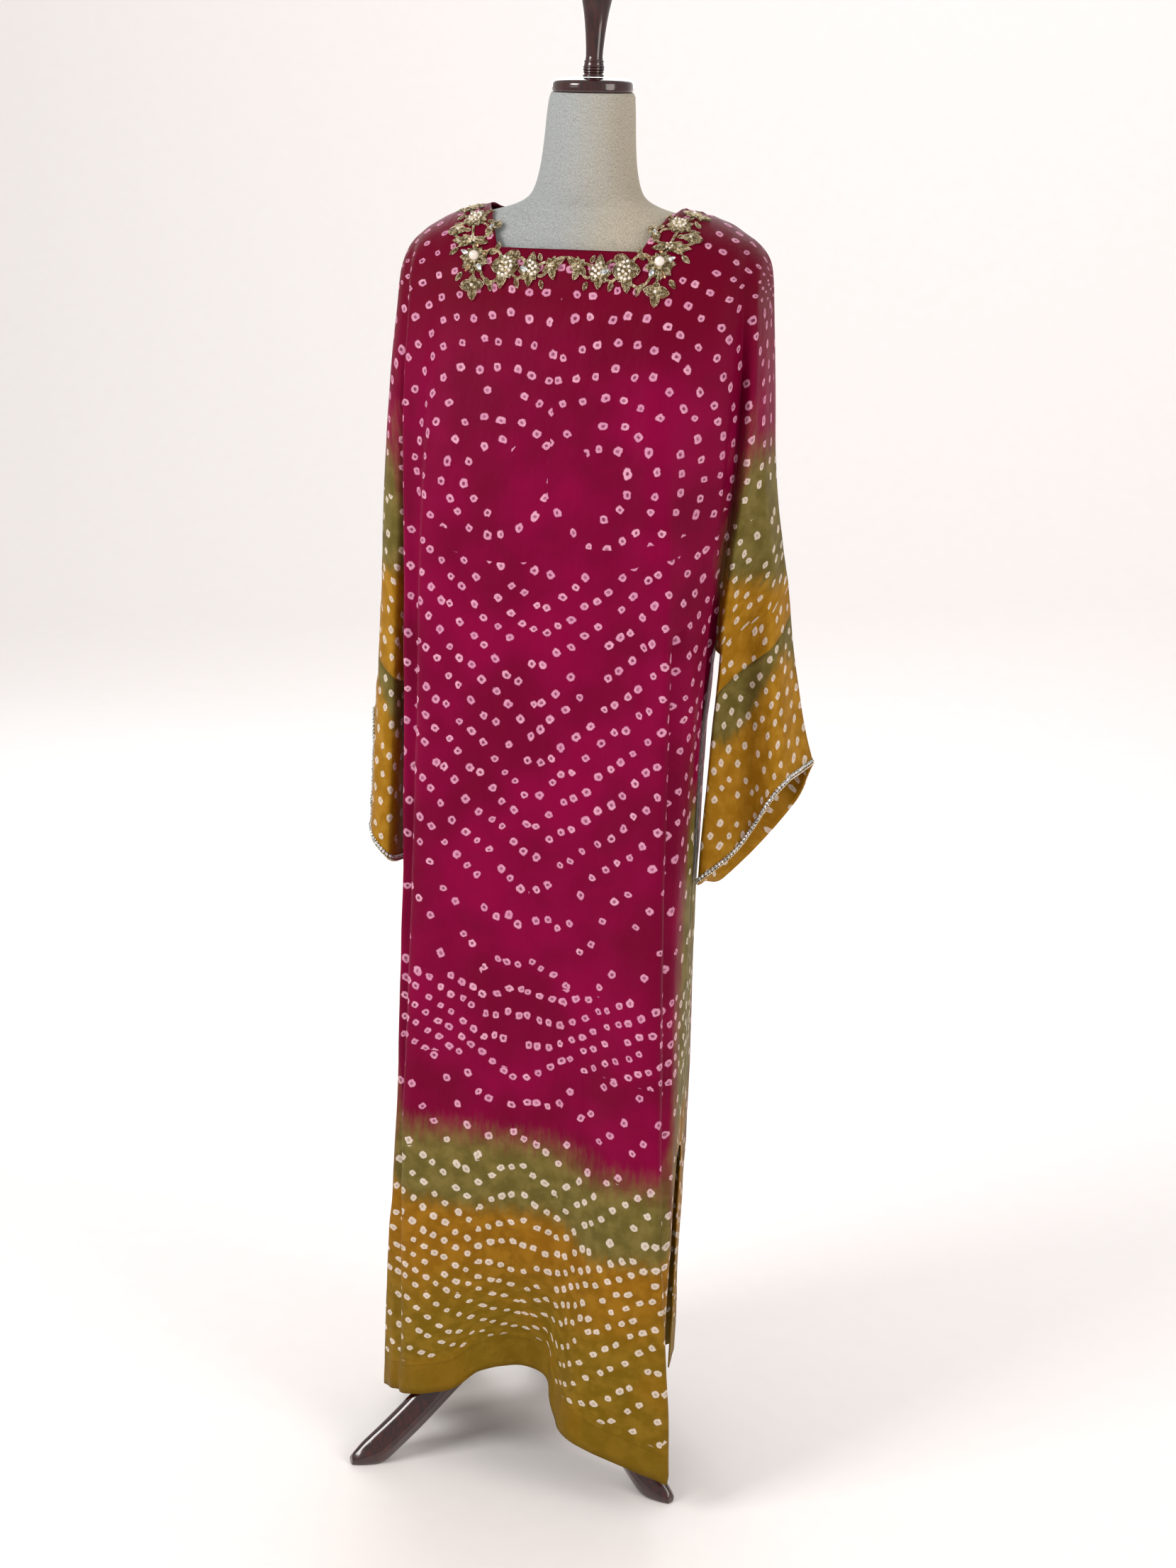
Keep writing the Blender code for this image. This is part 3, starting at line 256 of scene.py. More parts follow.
# Smooth curve through a table's values
def curve_at(levels, values, at):
    last = len(levels) - 1
    step = 1 if levels[1] > levels[0] else -1
    if (at - levels[0]) * step <= 0.0:
        return values[0]
    if (at - levels[-1]) * step >= 0.0:
        return values[-1]
    i = 0
    while (at - levels[i + 1]) * step > 0.0:
        i += 1
    span = levels[i + 1] - levels[i]

    def slope(j):
        low, high = max(0, j - 1), min(last, j + 1)
        return (values[high] - values[low]) / (levels[high] - levels[low])

    return bend((at - levels[i]) / span, values[i], span * slope(i), values[i + 1], span * slope(i + 1))


# Spline across the controls of one row, with the wanted number of steps in each part
def across(points, steps):
    made = [points[0]]
    last = len(points) - 1
    for i in range(last):
        p0, p1, p2, p3 = points[max(0, i - 1)], points[i], points[i + 1], points[min(last, i + 2)]
        chord = (p2 - p1).length
        before = (p1 - p0).length
        after = (p3 - p2).length
        way_1 = (p2 - p0) * (chord / (before + chord))
        way_2 = (p3 - p1) * (chord / (chord + after))
        made.extend(bend(k / steps[i], p1, way_1, p2, way_2) for k in range(1, steps[i] + 1))
    return made


# 0 at low, 1 at high, smooth between
def smooth_share(value, low, high):
    share = max(0.0, min(1.0, (value - low) / (high - low)))
    return share * share * (3.0 - 2.0 * share)


# %% The shoulders
# Height and depth of the shoulder seam
def shoulder_seam(x):
    reach = [row[0] for row in SHOULDER]
    place = max(reach[0], min(reach[-1], abs(x)))
    height = curve_at(reach, [row[1] for row in SHOULDER], place)
    depth = curve_at(reach, [row[2] for row in SHOULDER], place)
    return height, depth


def on_shoulder(point):
    height, depth = shoulder_seam(point.x)
    return Vector((point.x, depth, height))


# Slope at a height: everything that rides on the form's shoulders is raised on one side
def lean(z):
    return math.tan(math.radians(FORM_TILT)) * smooth_share(z, TILT_FROM_Z, CHEST_Z)


def settle(point):
    return Vector((point.x, point.y, point.z + lean(point.z) * point.x))


print("seam beside the neck at", shoulder_seam(SHOULDER[0][0]))

# %% Columns
# One named column of a panel; it gives the plan point at a height or an angle over the shoulder
class Column:
    def __init__(self, name, top_x, levels, xs, ys, hem=None):
        self.name = name
        self.top_x = top_x
        self.levels = levels
        self.xs = xs
        self.ys = ys
        self.hem = hem

    def plan(self, z):
        return curve_at(self.levels, self.xs, z), curve_at(self.levels, self.ys, z)

    def over_shoulder(self, angle, corner_angle):
        turn = math.radians(angle)
        share = angle / 90.0
        if "neck" in self.name:
            share = min(1.0, angle / corner_angle)
        x = self.top_x + (self.xs[0] - self.top_x) * share
        top_z, top_y = shoulder_seam(self.top_x)
        y = top_y + (self.ys[0] - top_y) * math.sin(turn)
        z = CHEST_Z + (top_z - CHEST_Z) * math.cos(turn)
        return Vector((x, y, z))


def body_columns(table):
    columns = [Column(row[0], row[1], LEVELS, row[2], row[3], row[4]) for row in table]
    return columns, [row[5] for row in table]


def sleeve_columns(table):
    columns = [Column(row[0], row[1], SLEEVE_LEVELS, row[2], row[3]) for row in table]
    return columns, [row[4] for row in table]


# %% Heights along the sleeves
# A share goes from the underarm, 0, to the overarm, 1
def seam_height(part, share):
    return SEAM_INNER_Z + (SEAM_OUTER_Z[part] - SEAM_INNER_Z) * share


def sleeve_row_height(part, step, share):
    return FORK_START_Z + (seam_height(part, share) - FORK_START_Z) * step / FORK_ROWS


def underarm_point(part, z):
    xs, ys = UNDERARM[part]
    return Vector((curve_at(SLEEVE_LEVELS[3:], xs, z), curve_at(SLEEVE_LEVELS[3:], ys, z), z))


def cuff_height(part, share, back_edge):
    table = CUFF[part]
    return curve_at([row[0] for row in table], [row[2 if back_edge else 1] for row in table], share)


# %% [markdown]
# ## The cloth surface
#
# A fine net of points is laid over the same curves that the solids use: rows over the shoulder, down
# the chest, past the fork of the underarm, and down to the hem. Every point also gets its place on
# the flat cloth: how far it is from the middle, measured along the cloth, and how high. A cloth
# simulation could drape the net, but its folds wouldn't fall where the photograph has them.

# %% Rows of the fine net
# Steps of the fine net inside each step of the tables
FINE = 4


def refined(values):
    made = []
    for a, b in zip(values, values[1:]):
        made.extend(a + (b - a) * k / FINE for k in range(FINE))
    return made + [values[-1]]


OVER = refined(SHOULDER_ROWS)
LEVEL = refined((CHEST_Z,) + CHEST_ROWS)[1:]
FORK = [k / FINE for k in range(1, FORK_STEP * FINE + 1)]
FORK_Z = FORK_START_Z + (SEAM_INNER_Z - FORK_START_Z) * FORK_STEP / FORK_ROWS
BODY = refined((FORK_Z,) + BODY_ROWS)[1:]
HEM = [k / FINE for k in range(1, HEM_STEPS * FINE + 1)]
ROWS = ([("over", v) for v in OVER] + [("level", v) for v in LEVEL] + [("fork", v) for v in FORK]
        + [("level", v) for v in BODY] + [("hem", v / HEM_STEPS) for v in HEM])
FORK_ROW = len(OVER) + len(LEVEL) + len(FORK) - 1
SLIT_ROW = FORK_ROW + (BODY_ROWS.index(SLIT_TOP_Z) + 1) * FINE
LAST_SLEEVE_ROW = FORK_ROW + (FORK_ROWS - FORK_STEP) * FINE
print("rows of the net", len(ROWS))


# %% Flat heights
# The cloth over the shoulder is about this far from its axis
SHOULDER_RADIUS = 0.095
# Near the hem the flat height follows the hem: fully below this, over this span, at this height
HEM_NEAR = 0.04
HEM_SPAN = 0.12
HEM_FLAT_Z = 0.055


def flat_height(kind, value, point):
    if kind == "over":
        return CHEST_Z + math.radians(90.0 - value) * SHOULDER_RADIUS
    return point.z


# Flat height and the height above the hem
def height_near_hem(high, hem):
    above_hem = high - hem
    near = 1.0 - min(1.0, max(0.0, (above_hem - HEM_NEAR) / HEM_SPAN))
    return high + (above_hem + HEM_FLAT_Z - high) * near * near, above_hem


# %% A panel
# Rows of one panel: body columns from side to side and the two sleeves, keyed by place
class Panel:
    def __init__(self, side, body, left, right, neck_row, corner_angle):
        self.side = side
        self.body, steps = body_columns(body)
        self.body_steps = [count * FINE for count in steps]
        self.sleeves = {}
        for part, table in zip(PARTS, (left, right)):
            columns, steps = sleeve_columns(table)
            self.sleeves[part] = (columns, [2 * FINE] + [count * FINE for count in steps])
        self.neck_row = neck_row * FINE
        self.corner_angle = corner_angle
        self.body_count = sum(self.body_steps)
        self.sleeve_count = {part: sum(steps) for part, (_, steps) in self.sleeves.items()}
        self.points = {}
        self.flat = {}
        self.faces = []
        self.fork_from = {}
        self.lay_rows()
        self.lay_underarms()
        self.weave()

    # Fine column of a named one
    def col_of(self, name):
        names = [column.name for column in self.body]
        return sum(self.body_steps[:names.index(name)])

    def key(self, part, row, col):
        if part in PARTS and col == 0 and row <= FORK_ROW:
            part, col = "body", 0 if part == "left" else self.body_count
        if row == 0 or part == "body" and row > SLIT_ROW:
            return (self.side, part, row, col)
        if part == "body" and row >= FORK_ROW and col in (0, self.body_count):
            return ("seam", "body left" if col == 0 else "body right", row)
        if part != "body" and col == self.sleeve_count[part]:
            return ("seam", "over " + part, row)
        if part != "body" and col == 0:
            return ("seam", "under " + part, row)
        return (self.side, part, row, col)

    def control(self, column, kind, value, part, share):
        if kind == "over":
            return column.over_shoulder(value, self.corner_angle)
        if kind == "fork":
            z = sleeve_row_height(part, value, share)
        elif kind == "hem":
            z = BODY_ROWS[-1] + (column.hem - BODY_ROWS[-1]) * value
        else:
            z = value
        x, y = column.plan(z)
        return Vector((x, y, z))

    # Lays one row of a sleeve outward from its first point
    def lay_sleeve(self, part, row, kind, value, first, from_middle):
        columns, steps = self.sleeves[part]
        controls = [first]
        for index, column in enumerate(columns):
            controls.append(self.control(column, kind, value, part, (index + 1) / len(columns)))
        made = across(controls, steps)
        if row == 0:
            made = [on_shoulder(point) for point in made]
        for col, point in enumerate(made):
            if col:
                from_middle += math.copysign((point - made[col - 1]).length, from_middle)
            self.points[self.key(part, row, col)] = point
            self.flat[(part, row, col)] = (from_middle, flat_height(kind, value, point), 1.0)

    def lay_rows(self):
        middle = self.col_of("centre")
        hems = across([Vector((0.0, 0.0, column.hem)) for column in self.body], self.body_steps)
        for row, (kind, value) in enumerate(ROWS):
            # At the underarm both sleeves have the same heights, and the body shares them
            controls = [self.control(column, kind, value, "left", 0.0) for column in self.body]
            made = across(controls, self.body_steps)
            if row == 0:
                made = [on_shoulder(point) for point in made]
            along = [0.0] * len(made)
            for col in range(middle + 1, len(made)):
                along[col] = along[col - 1] + (made[col] - made[col - 1]).length
            for col in range(middle - 1, -1, -1):
                along[col] = along[col + 1] - (made[col] - made[col + 1]).length
            for col, point in enumerate(made):
                self.points[self.key("body", row, col)] = point
                high = height_near_hem(flat_height(kind, value, point), hems[col].z)
                self.flat[("body", row, col)] = (along[col], *high)
            if row > FORK_ROW:
                continue
            for part, end in zip(PARTS, (0, -1)):
                self.lay_sleeve(part, row, kind, value, made[end], along[end])
                self.fork_from[part] = along[end]

    def lay_underarms(self):
        for part in PARTS:
            for row in range(FORK_ROW + 1, LAST_SLEEVE_ROW + 1):
                step = FORK_STEP + (row - FORK_ROW) / FINE
                first = underarm_point(part, sleeve_row_height(part, step, 0.0))
                self.lay_sleeve(part, row, "fork", step, first, self.fork_from[part])

    def weave(self):
        neck_from = self.col_of("neck left")
        neck_to = self.col_of("neck right")
        for row in range(len(ROWS) - 1):
            for col in range(self.body_count):
                if row < self.neck_row and neck_from <= col < neck_to:
                    continue
                self.faces.append(self.patch("body", row, col, False))
        for part in PARTS:
            for row in range(LAST_SLEEVE_ROW):
                for col in range(self.sleeve_count[part]):
                    self.faces.append(self.patch(part, row, col, part == "left"))

    # Corners of one small patch, each as its point and its place on the flat cloth
    def patch(self, part, row, col, flip):
        corners = [(row, col), (row, col + 1), (row + 1, col + 1), (row + 1, col)]
        if flip != (self.side == "back"):
            corners.reverse()
        corners.reverse()
        return [(self.key(part, r, c), self.flat[(part, r, c)]) for r, c in corners]


# %% A sleeve end
# One ring round the sleeve, a share of the way down from the slanting seam to the cuff
def end_ring(part, down):
    ring = []
    for panel in (front, back):
        columns, steps = panel.sleeves[part]
        controls = []
        for index in range(len(columns) + 1):
            share = index / len(columns)
            top = seam_height(part, share)
            rim = cuff_height(part, share, panel is back and index not in (0, len(columns)))
            z = top + (rim - top) * down
            if index == 0:
                controls.append(underarm_point(part, z))
            else:
                controls.append(Vector((*columns[index - 1].plan(z), z)))
        made = across(controls, steps)
        ring.extend(reversed(made[1:-1]) if panel is back else made)
    return ring


def sleeve_end(part):
    steps = CUFF_STEPS * FINE
    rings = [end_ring(part, step / steps) for step in range(steps + 1)]
    count = len(rings[0])
    points = {("end", part, step, col): point
              for step, ring in enumerate(rings) for col, point in enumerate(ring)}
    start = front.fork_from[part]
    flat = {}
    for step, ring in enumerate(rings):
        along = start
        for col in range(count + 1):
            if col:
                along += math.copysign((ring[col % count] - ring[col - 1]).length, start)
            point = ring[col % count]
            flat[(step, col)] = (along, point.z, (rings[0][col % count] - point).length)
    faces = []
    for step in range(steps):
        for col in range(count):
            corners = [(step, col), (step, col + 1), (step + 1, col + 1), (step + 1, col)]
            if part == "right":
                corners.reverse()
            faces.append([(("end", part, s, c % count), flat[(s, c)]) for s, c in corners])
    return points, faces, rings


# %% Laying the whole cloth
front = Panel("front", FRONT_BODY, SLEEVE_LEFT_FRONT, SLEEVE_RIGHT_FRONT,
              FRONT_NECK_ROW, NECK_CORNER_ANGLE)
back = Panel("back", BACK_BODY, SLEEVE_LEFT_BACK, SLEEVE_RIGHT_BACK, BACK_NECK_ROW, BACK_NECK_ANGLE)
cloth_points = dict(back.points)
for key, point in front.points.items():
    twin = back.points.get(key)
    cloth_points[key] = point if twin is None else (point + twin) / 2
end_faces = {}
end_rings = {}
for part in PARTS:
    made, end_faces[part], end_rings[part] = sleeve_end(part)
    cloth_points.update(made)
print("cloth points", len(cloth_points), "front patches", len(front.faces))

# %% [markdown]
# ## Soft creases
#
# Silk never hangs dead smooth. Small rises follow the folds down the body, the shoulder seam is a
# little puckered beside the neckline, and the joins of the sleeve ends pull in. They could be carved
# with a sculpting brush; smooth noise along the cloth gives the same kind of rise each time. Over the
# chest the creases hardly move the cloth inward, so that it stays clear of the form underneath.

# %% Outward ways
# The way outward at each point of the cloth
def all_normals(faces):
    normals = {key: Vector((0.0, 0.0, 0.0)) for key in cloth_points}
    for corners in faces:
        places = [cloth_points[key] for key, _ in corners]
        across_by = (places[2] - places[0]).cross(places[3] - places[1])
        for key, _ in corners:
            normals[key] += across_by
    return {key: normal.normalized() for key, normal in normals.items() if normal.length > 0}


# %% Sharp folds
# Flat heights down a named column of the front, and its distance from the middle at each
def column_line(name):
    col = front.col_of(name)
    line = [front.flat[("body", row, col)] for row in range(len(ROWS))]
    return [place[1] for place in line], [place[0] for place in line]


# Column beside the valley, way to the valley, depth, half width, top and full height of the fold
FOLDS = (("edge right", 0.017, 0.0120, 0.0085, 1.26, 1.02),
         ("fold left", -0.012, 0.0085, 0.0070, 1.42, 1.20),
         ("dip left", 0.004, 0.0055, 0.0075, 1.20, 0.95),
         ("fold right", 0.014, 0.0070, 0.0090, 1.36, 1.12))
# Beside its valley the cloth stands up by this share of the depth
RIDGE = 0.25
FOLD_LINES = [(column_line(name), *facts) for name, *facts in FOLDS]
print("sharp folds", len(FOLD_LINES))


def line_at(line, v):
    heights, places = line
    for i in range(1, len(heights)):
        if heights[i] <= v:
            return places[i]
    return places[-1]


def sharp_folds(u, v):
    rise = 0.0
    for line, aside, depth, half, top, full in FOLD_LINES:
        if v > top:
            continue
        strength = depth * smooth_share(v, top, full)
        ridge = (u - line_at(line, v)) / half
        valley = (u - line_at(line, v) - aside) / half
        rise += strength * (RIDGE * math.exp(-ridge * ridge) - math.exp(-valley * valley))
    return rise


# %% Soft creases
# Strength, width, length, slant and seed of each kind of crease
LONG_CREASES = (0.0018, 0.034, 0.30, math.inf, 3.7)
SOFT_CREASES = (0.0009, 0.020, 0.075, 0.09, 9.1)
SOFT_OVER_FORM = 0.35
FINE_CREASES = (0.00016, 0.009, 0.020, math.inf, 5.3)
BROAD_CREASES = (0.0014, 0.055, 0.16, math.inf, 1.9)
# Heights between which the body's creases fade out upward and the broad ones come in downward
FREE_CLOTH = (1.02, 1.20)
BROAD_FROM = (1.06, 0.55)
# Gathers beside the neckline: height, distance between them, and where they begin and end
PUCKER = 0.0011
PUCKER_STEP = 0.0094
PUCKER_RISE = (1.46, 1.53)
PUCKER_ASIDE = (0.112, 0.158)
# Over the form the cloth stays a little out, and may move in by no more than these
OFF_FORM = 0.0004
FORM_BELOW_Z = 1.06
FORM_HALF = 0.12
INWARD_AT_FORM = -0.0005
INWARD_ASIDE = -0.003
# Along the side edges, where front and back meet
EDGE_LIMIT = 0.0003


def creases(u, v, strength, width, length, slant, seed):
    return strength * noise.noise(Vector((u / width + v / slant, v / length, seed)))


def crease(key, point, flat):
    u, v = flat[:2]
    low = 1.0 - smooth_share(v, *FREE_CLOTH)
    rise = low * creases(u, v, *LONG_CREASES) + (SOFT_OVER_FORM + low) * creases(u, v, *SOFT_CREASES)
    rise += creases(u, v, *FINE_CREASES) + smooth_share(v, *BROAD_FROM) * creases(u, v, *BROAD_CREASES)
    if v > CHEST_Z:
        pucker = smooth_share(v, *PUCKER_RISE) * (1.0 - smooth_share(abs(point.x), *PUCKER_ASIDE))
        rise += PUCKER * pucker * (1.0 + math.sin(abs(point.x) / PUCKER_STEP * 2 * math.pi))
    rise += OFF_FORM * (1.0 - low)
    if key[0] == "front":
        rise += sharp_folds(u, v)
    if v <= FORM_BELOW_Z:
        return rise
    if v > CHEST_Z:
        return max(rise, 0.0)
    return max(rise, INWARD_AT_FORM if abs(u) < FORM_HALF else INWARD_ASIDE)


# %% Creasing the whole cloth
# Seam of a sleeve end: groove depth and half width
SEAM_GROOVE = 0.0007
SEAM_REACH = 0.006
whole = front.faces + back.faces + end_faces["left"] + end_faces["right"]
cloth_normals = all_normals(whole)
place_of = {}
for corners in whole:
    for key, flat in corners:
        place_of.setdefault(key, flat)
creased = {}
for key, point in cloth_points.items():
    if key not in place_of:
        continue
    rise = crease(key, point, place_of[key])
    if key[0] == "end":
        rise -= SEAM_GROOVE * (1.0 - smooth_share(place_of[key][2], 0.0, SEAM_REACH))
    if key[0] != "end" and key[2] == 0 or key[0] == "seam" and "body" in key[1]:
        rise = min(rise, EDGE_LIMIT)
    creased[key] = settle(point + cloth_normals[key] * rise)


# %% Joining the sleeve ends
# The first ring of a sleeve end lies on the last sleeve row of the panels
def closest_join(part):
    row = LAST_SLEEVE_ROW
    joins = {}
    count = front.sleeve_count[part]
    for col in range(count + 1):
        joins[("end", part, 0, col)] = front.key(part, row, col)
    for col in range(1, back.sleeve_count[part]):
        joins[("end", part, 0, count + back.sleeve_count[part] - col)] = back.key(part, row, col)
    return joins


for part in PARTS:
    joins = closest_join(part)
    for end_key, panel_key in joins.items():
        creased[end_key] = creased[panel_key]
    print("joined points of the sleeve end", part, len(joins))

# %% [markdown]
# ## Dye
#
# The cloth was dipped in three baths, so its colour changes with the height, and not along one level
# line: the dye sits higher on the sleeves than on the body. Each point keeps how far it is above the
# end of the magenta and above the end of the olive; the shader feathers the borders. A painted map
# could show the zones too, but these few heights are easy to move.

# %% Dye lines
# Ends of the magenta and of the olive: at the middle of the front, at the side, on the sleeve
MAGENTA_END = {"left": (0.452, 0.70, 1.220), "right": (0.427, 0.86, 1.250)}
OLIVE_END = {"left": (0.357, 0.44, 1.085), "right": (0.325, 0.47, 1.105)}
# How far from the middle the side's colour begins and is reached, then the sleeve's
DYE_REACH = {"left": (0.166, 0.206, 0.256, 0.300), "right": (0.168, 0.222, 0.282, 0.330)}
SLEEVE_REACH = {"left": (0.172, 0.246), "right": (0.184, 0.262)}
# The step between the two halves of the middle, and where the sleeves' own reach begins
MIDDLE_STEP = (0.03, 0.11)
SLEEVE_FROM_Z = (1.00, 1.14)
SLOPE_SPAN = 0.003


def dye_line(u, v, ends, on_sleeve):
    step = smooth_share(u, *MIDDLE_STEP)
    middle = ends["left"][0] + (ends["right"][0] - ends["left"][0]) * step
    part = "right" if u > 0 else "left"
    side, sleeve = ends[part][1:]
    side_from, side_to, low_from, low_to = DYE_REACH[part]
    high = 1.0 if on_sleeve else smooth_share(v, *SLEEVE_FROM_Z)
    sleeve_from = low_from + (SLEEVE_REACH[part][0] - low_from) * high
    sleeve_to = low_to + (SLEEVE_REACH[part][1] - low_to) * high
    far = abs(u)
    if u > 0.0 and v < 1.0:
        # The side's dye follows the sharp front edge as it swings out
        far -= line_at(FOLD_LINES[0][0], v) - line_at(FOLD_LINES[0][0], 1.0)
    line = middle + (side - middle) * smooth_share(far, side_from, side_to)
    return line + (sleeve - side) * smooth_share(far, sleeve_from, sleeve_to)


# Distance above a dye line, measured square to the line
def above_line(u, v, ends, on_sleeve):
    ahead = dye_line(u + SLOPE_SPAN, v, ends, on_sleeve)
    slope = (ahead - dye_line(u - SLOPE_SPAN, v, ends, on_sleeve)) / (2 * SLOPE_SPAN)
    return (v - dye_line(u, v, ends, on_sleeve)) / math.sqrt(1.0 + slope * slope)


# %% Dye of each point
# A sleeve end has no magenta, and a wavy band of olive below its seam
PAST_MAGENTA = -0.2
OLIVE_BAND = 0.046
BAND_WAVE = (0.5, 40.0)


def dye_of(key, flat):
    u, v, below = flat
    if key[0] == "end":
        return PAST_MAGENTA, OLIVE_BAND * (1.0 + BAND_WAVE[0] * math.sin(u * BAND_WAVE[1])) - below
    on_sleeve = key[1] in PARTS or key[0] == "seam" and "body" not in key[1]
    return above_line(u, v, MAGENTA_END, on_sleeve), above_line(u, v, OLIVE_END, on_sleeve)


print("dye at the middle of the chest", dye_of(("front", "body", 0, 0), (0.0, CHEST_Z, 1.0)))


# %% A cloth object
def new_object(name, data):
    made = bpy.data.objects.new(name, data)
    bpy.context.scene.collection.objects.link(made)
    return made


# Makes one cloth object; "flat cloth" is its map, "dye" holds the two dye distances and the hem's
def cloth_object(name, faces, made_of):
    keys = []
    index = {}
    for corners in faces:
        for key, flat in corners:
            if key not in index:
                index[key] = len(keys)
                keys.append(key)
    mesh = bpy.data.meshes.new(name)
    mesh.from_pydata([creased[key] + FORM_AXIS for key in keys], [],
                     [[index[key] for key, _ in corners] for corners in faces])
    places = []
    dyes = []
    for corners in faces:
        for key, flat in corners:
            places.extend(flat[:2])
            dyes.extend(dye_of(key, flat))
            dyes.append(1.0 if key[0] == "end" else flat[2])
    mesh.uv_layers.new(name="flat cloth").data.foreach_set("uv", places)
    mesh.attributes.new("dye", "FLOAT_VECTOR", "CORNER").data.foreach_set("vector", dyes)
    mesh.polygons.foreach_set("use_smooth", [True] * len(mesh.polygons))
    mesh.materials.append(made_of)
    made = new_object(name, mesh)
    thick = made.modifiers.new("cloth thickness", "SOLIDIFY")
    thick.thickness = CLOTH
    thick.offset = -1.0
    area = sum(face.area for face in mesh.polygons)
    print(name, "patches", len(mesh.polygons), "area", round(area, 3))
    return made, area

# %% [markdown]
# ## Short names for shader nodes
#
# A dyed cloth needs many small sums in its shader, and each sum is a node. They could be drawn by
# hand in the shader editor. Here ordinary signs make them: with two amounts a and b, writing a + b
# adds one Math node, so a sum in the script reads like the sum itself.

# %% Colours and sums
# Shader colours are linear; this takes them from the 0 to 255 a dyer's card would give
def shade(red, green, blue):
    made = []
    for value in (red, green, blue):
        value /= 255.0
        made.append(value / 12.92 if value <= 0.04045 else ((value + 0.055) / 1.055) ** 2.4)
    return (*made, 1.0)


# One output of a node, which the signs + - * / take further
class Amount:
    def __init__(self, recipe, socket):
        self.recipe = recipe
        self.socket = socket

    def __add__(self, other):
        return self.recipe.math("ADD", self, other)

    def __radd__(self, other):
        return self.recipe.math("ADD", other, self)

    def __sub__(self, other):
        return self.recipe.math("SUBTRACT", self, other)

    def __rsub__(self, other):
        return self.recipe.math("SUBTRACT", other, self)

    def __mul__(self, other):
        return self.recipe.math("MULTIPLY", self, other)

    def __rmul__(self, other):
        return self.recipe.math("MULTIPLY", other, self)

    def __truediv__(self, other):
        return self.recipe.math("DIVIDE", self, other)


# %% A material's recipe
# Builds a material's node tree with short calls
class Recipe:
    def __init__(self, name):
        self.material = bpy.data.materials.new(name)
        self.material.use_nodes = True
        self.tree = self.material.node_tree
        self.shader = self.tree.nodes["Principled BSDF"]

    def put(self, socket, value):
        if isinstance(value, Amount):
            self.tree.links.new(value.socket, socket)
        else:
            socket.default_value = value

    # Adds a node, fills its inputs by name or number, and hands back one output
    def node(self, kind, output, inputs, **settings):
        made = self.tree.nodes.new("ShaderNode" + kind)
        for key, value in settings.items():
            setattr(made, key, value)
        for key, value in inputs.items():
            self.put(made.inputs[key], value)
        return Amount(self, made.outputs[output])

    def math(self, operation, *values):
        return self.node("Math", 0, dict(enumerate(values)), operation=operation)

    def size(self, value):
        return self.math("ABSOLUTE", value)

    def most(self, a, b):
        return self.math("MAXIMUM", a, b)

    def above(self, value, limit):
        return self.math("GREATER_THAN", value, limit)

    # 0 below low, 1 above high, smooth between
    def rise(self, value, low, high):
        return self.node("MapRange", "Result", {"Value": value, "From Min": low, "From Max": high},
                         interpolation_type="SMOOTHSTEP")

    def mix(self, share, a, b):
        return self.node("Mix", 2, {"Factor": share, 6: a, 7: b}, data_type="RGBA")

    def choose(self, share, a, b):
        return a + share * (b - a)

    def point(self, x, y, z=0.0):
        return self.node("CombineXYZ", 0, {0: x, 1: y, 2: z})

    def parts(self, vector):
        outputs = self.node("SeparateXYZ", 0, {0: vector}).socket.node.outputs
        return [Amount(self, output) for output in outputs]

    def noise(self, vector, scale, detail=2.0, rough=0.5):
        return self.node("TexNoise", "Fac", {"Vector": vector, "Scale": scale, "Detail": detail,
                                             "Roughness": rough})

    def random(self, vector):
        return self.parts(self.node("TexWhiteNoise", "Color", {"Vector": vector},
                                    noise_dimensions="3D"))

    def bump(self, height, distance, strength=1.0, under=None):
        inputs = {"Height": height, "Distance": distance, "Strength": strength}
        if under is not None:
            inputs["Normal"] = under
        return self.node("Bump", "Normal", inputs)

    def place(self):
        return self.node("TexCoord", "Object", {})

    def finish(self, **values):
        for name, value in values.items():
            self.put(self.shader.inputs[name.replace("_", " ")], value)
        return self.material


# %% [markdown]
# ## The dyed silk
#
# The tied dots stand in rows. Above, the rows are rings round two plain eyes, one each side of the
# middle; below, they are bent lines that dip to the middle and then turn over, because the folded
# cloth was tied through two layers at once. Each dot is a pale ring with a small dyed heart where the
# thread held the cloth. The sums below find the nearest dot for each place on the flat cloth. A
# painted picture could show the dots too, but it would blur close up and stretch at the folds.

# %% Sizes of the tied pattern
# Rings round the eyes: eye centre, distance between rings and between dots
EYE = (0.055, 1.215)
RING_STEP = 0.0275
RING_START = 0.25
RING_DOT_STEP = 0.0205
# Bent rows: height between rows, level distance between dots
ROW_STEP = 0.0365
ROW_DOT_STEP = 0.0134
# The rings take over above this height, which climbs toward the sides
RINGS_FROM = 1.140
RINGS_CLIMB_FROM = 0.10
RINGS_CLIMB = 0.25
PLAIN_STRIP = 0.0105
# Half size of a dot and of its heart, and how square they are
DOT = 0.0040
HEART = 0.0015
SQUARENESS = 2.6
LOST_KNOTS = 0.035
# Slope of the rows near the middle at some heights: 1 dips to the middle, -1 rises to it
ROW_SLOPES = ((0.05, 0.60), (0.23, 0.80), (0.34, -0.60), (0.42, -0.60), (0.54, 0.60),
              (0.64, -0.60), (0.79, 1.00), (1.20, 1.00), (2.00, 1.00))
SLOPE_REACH = 0.048
OUTER_SLOPE = 0.9
# Where the rows turn at the side folds: distance from the middle, change of slope, slope after
SIDE_TURNS = ((0.235, -2.0, -1.1), (0.300, 2.3, 1.2))
print("rows every", ROW_STEP, "m, dots", 2 * DOT, "m wide")


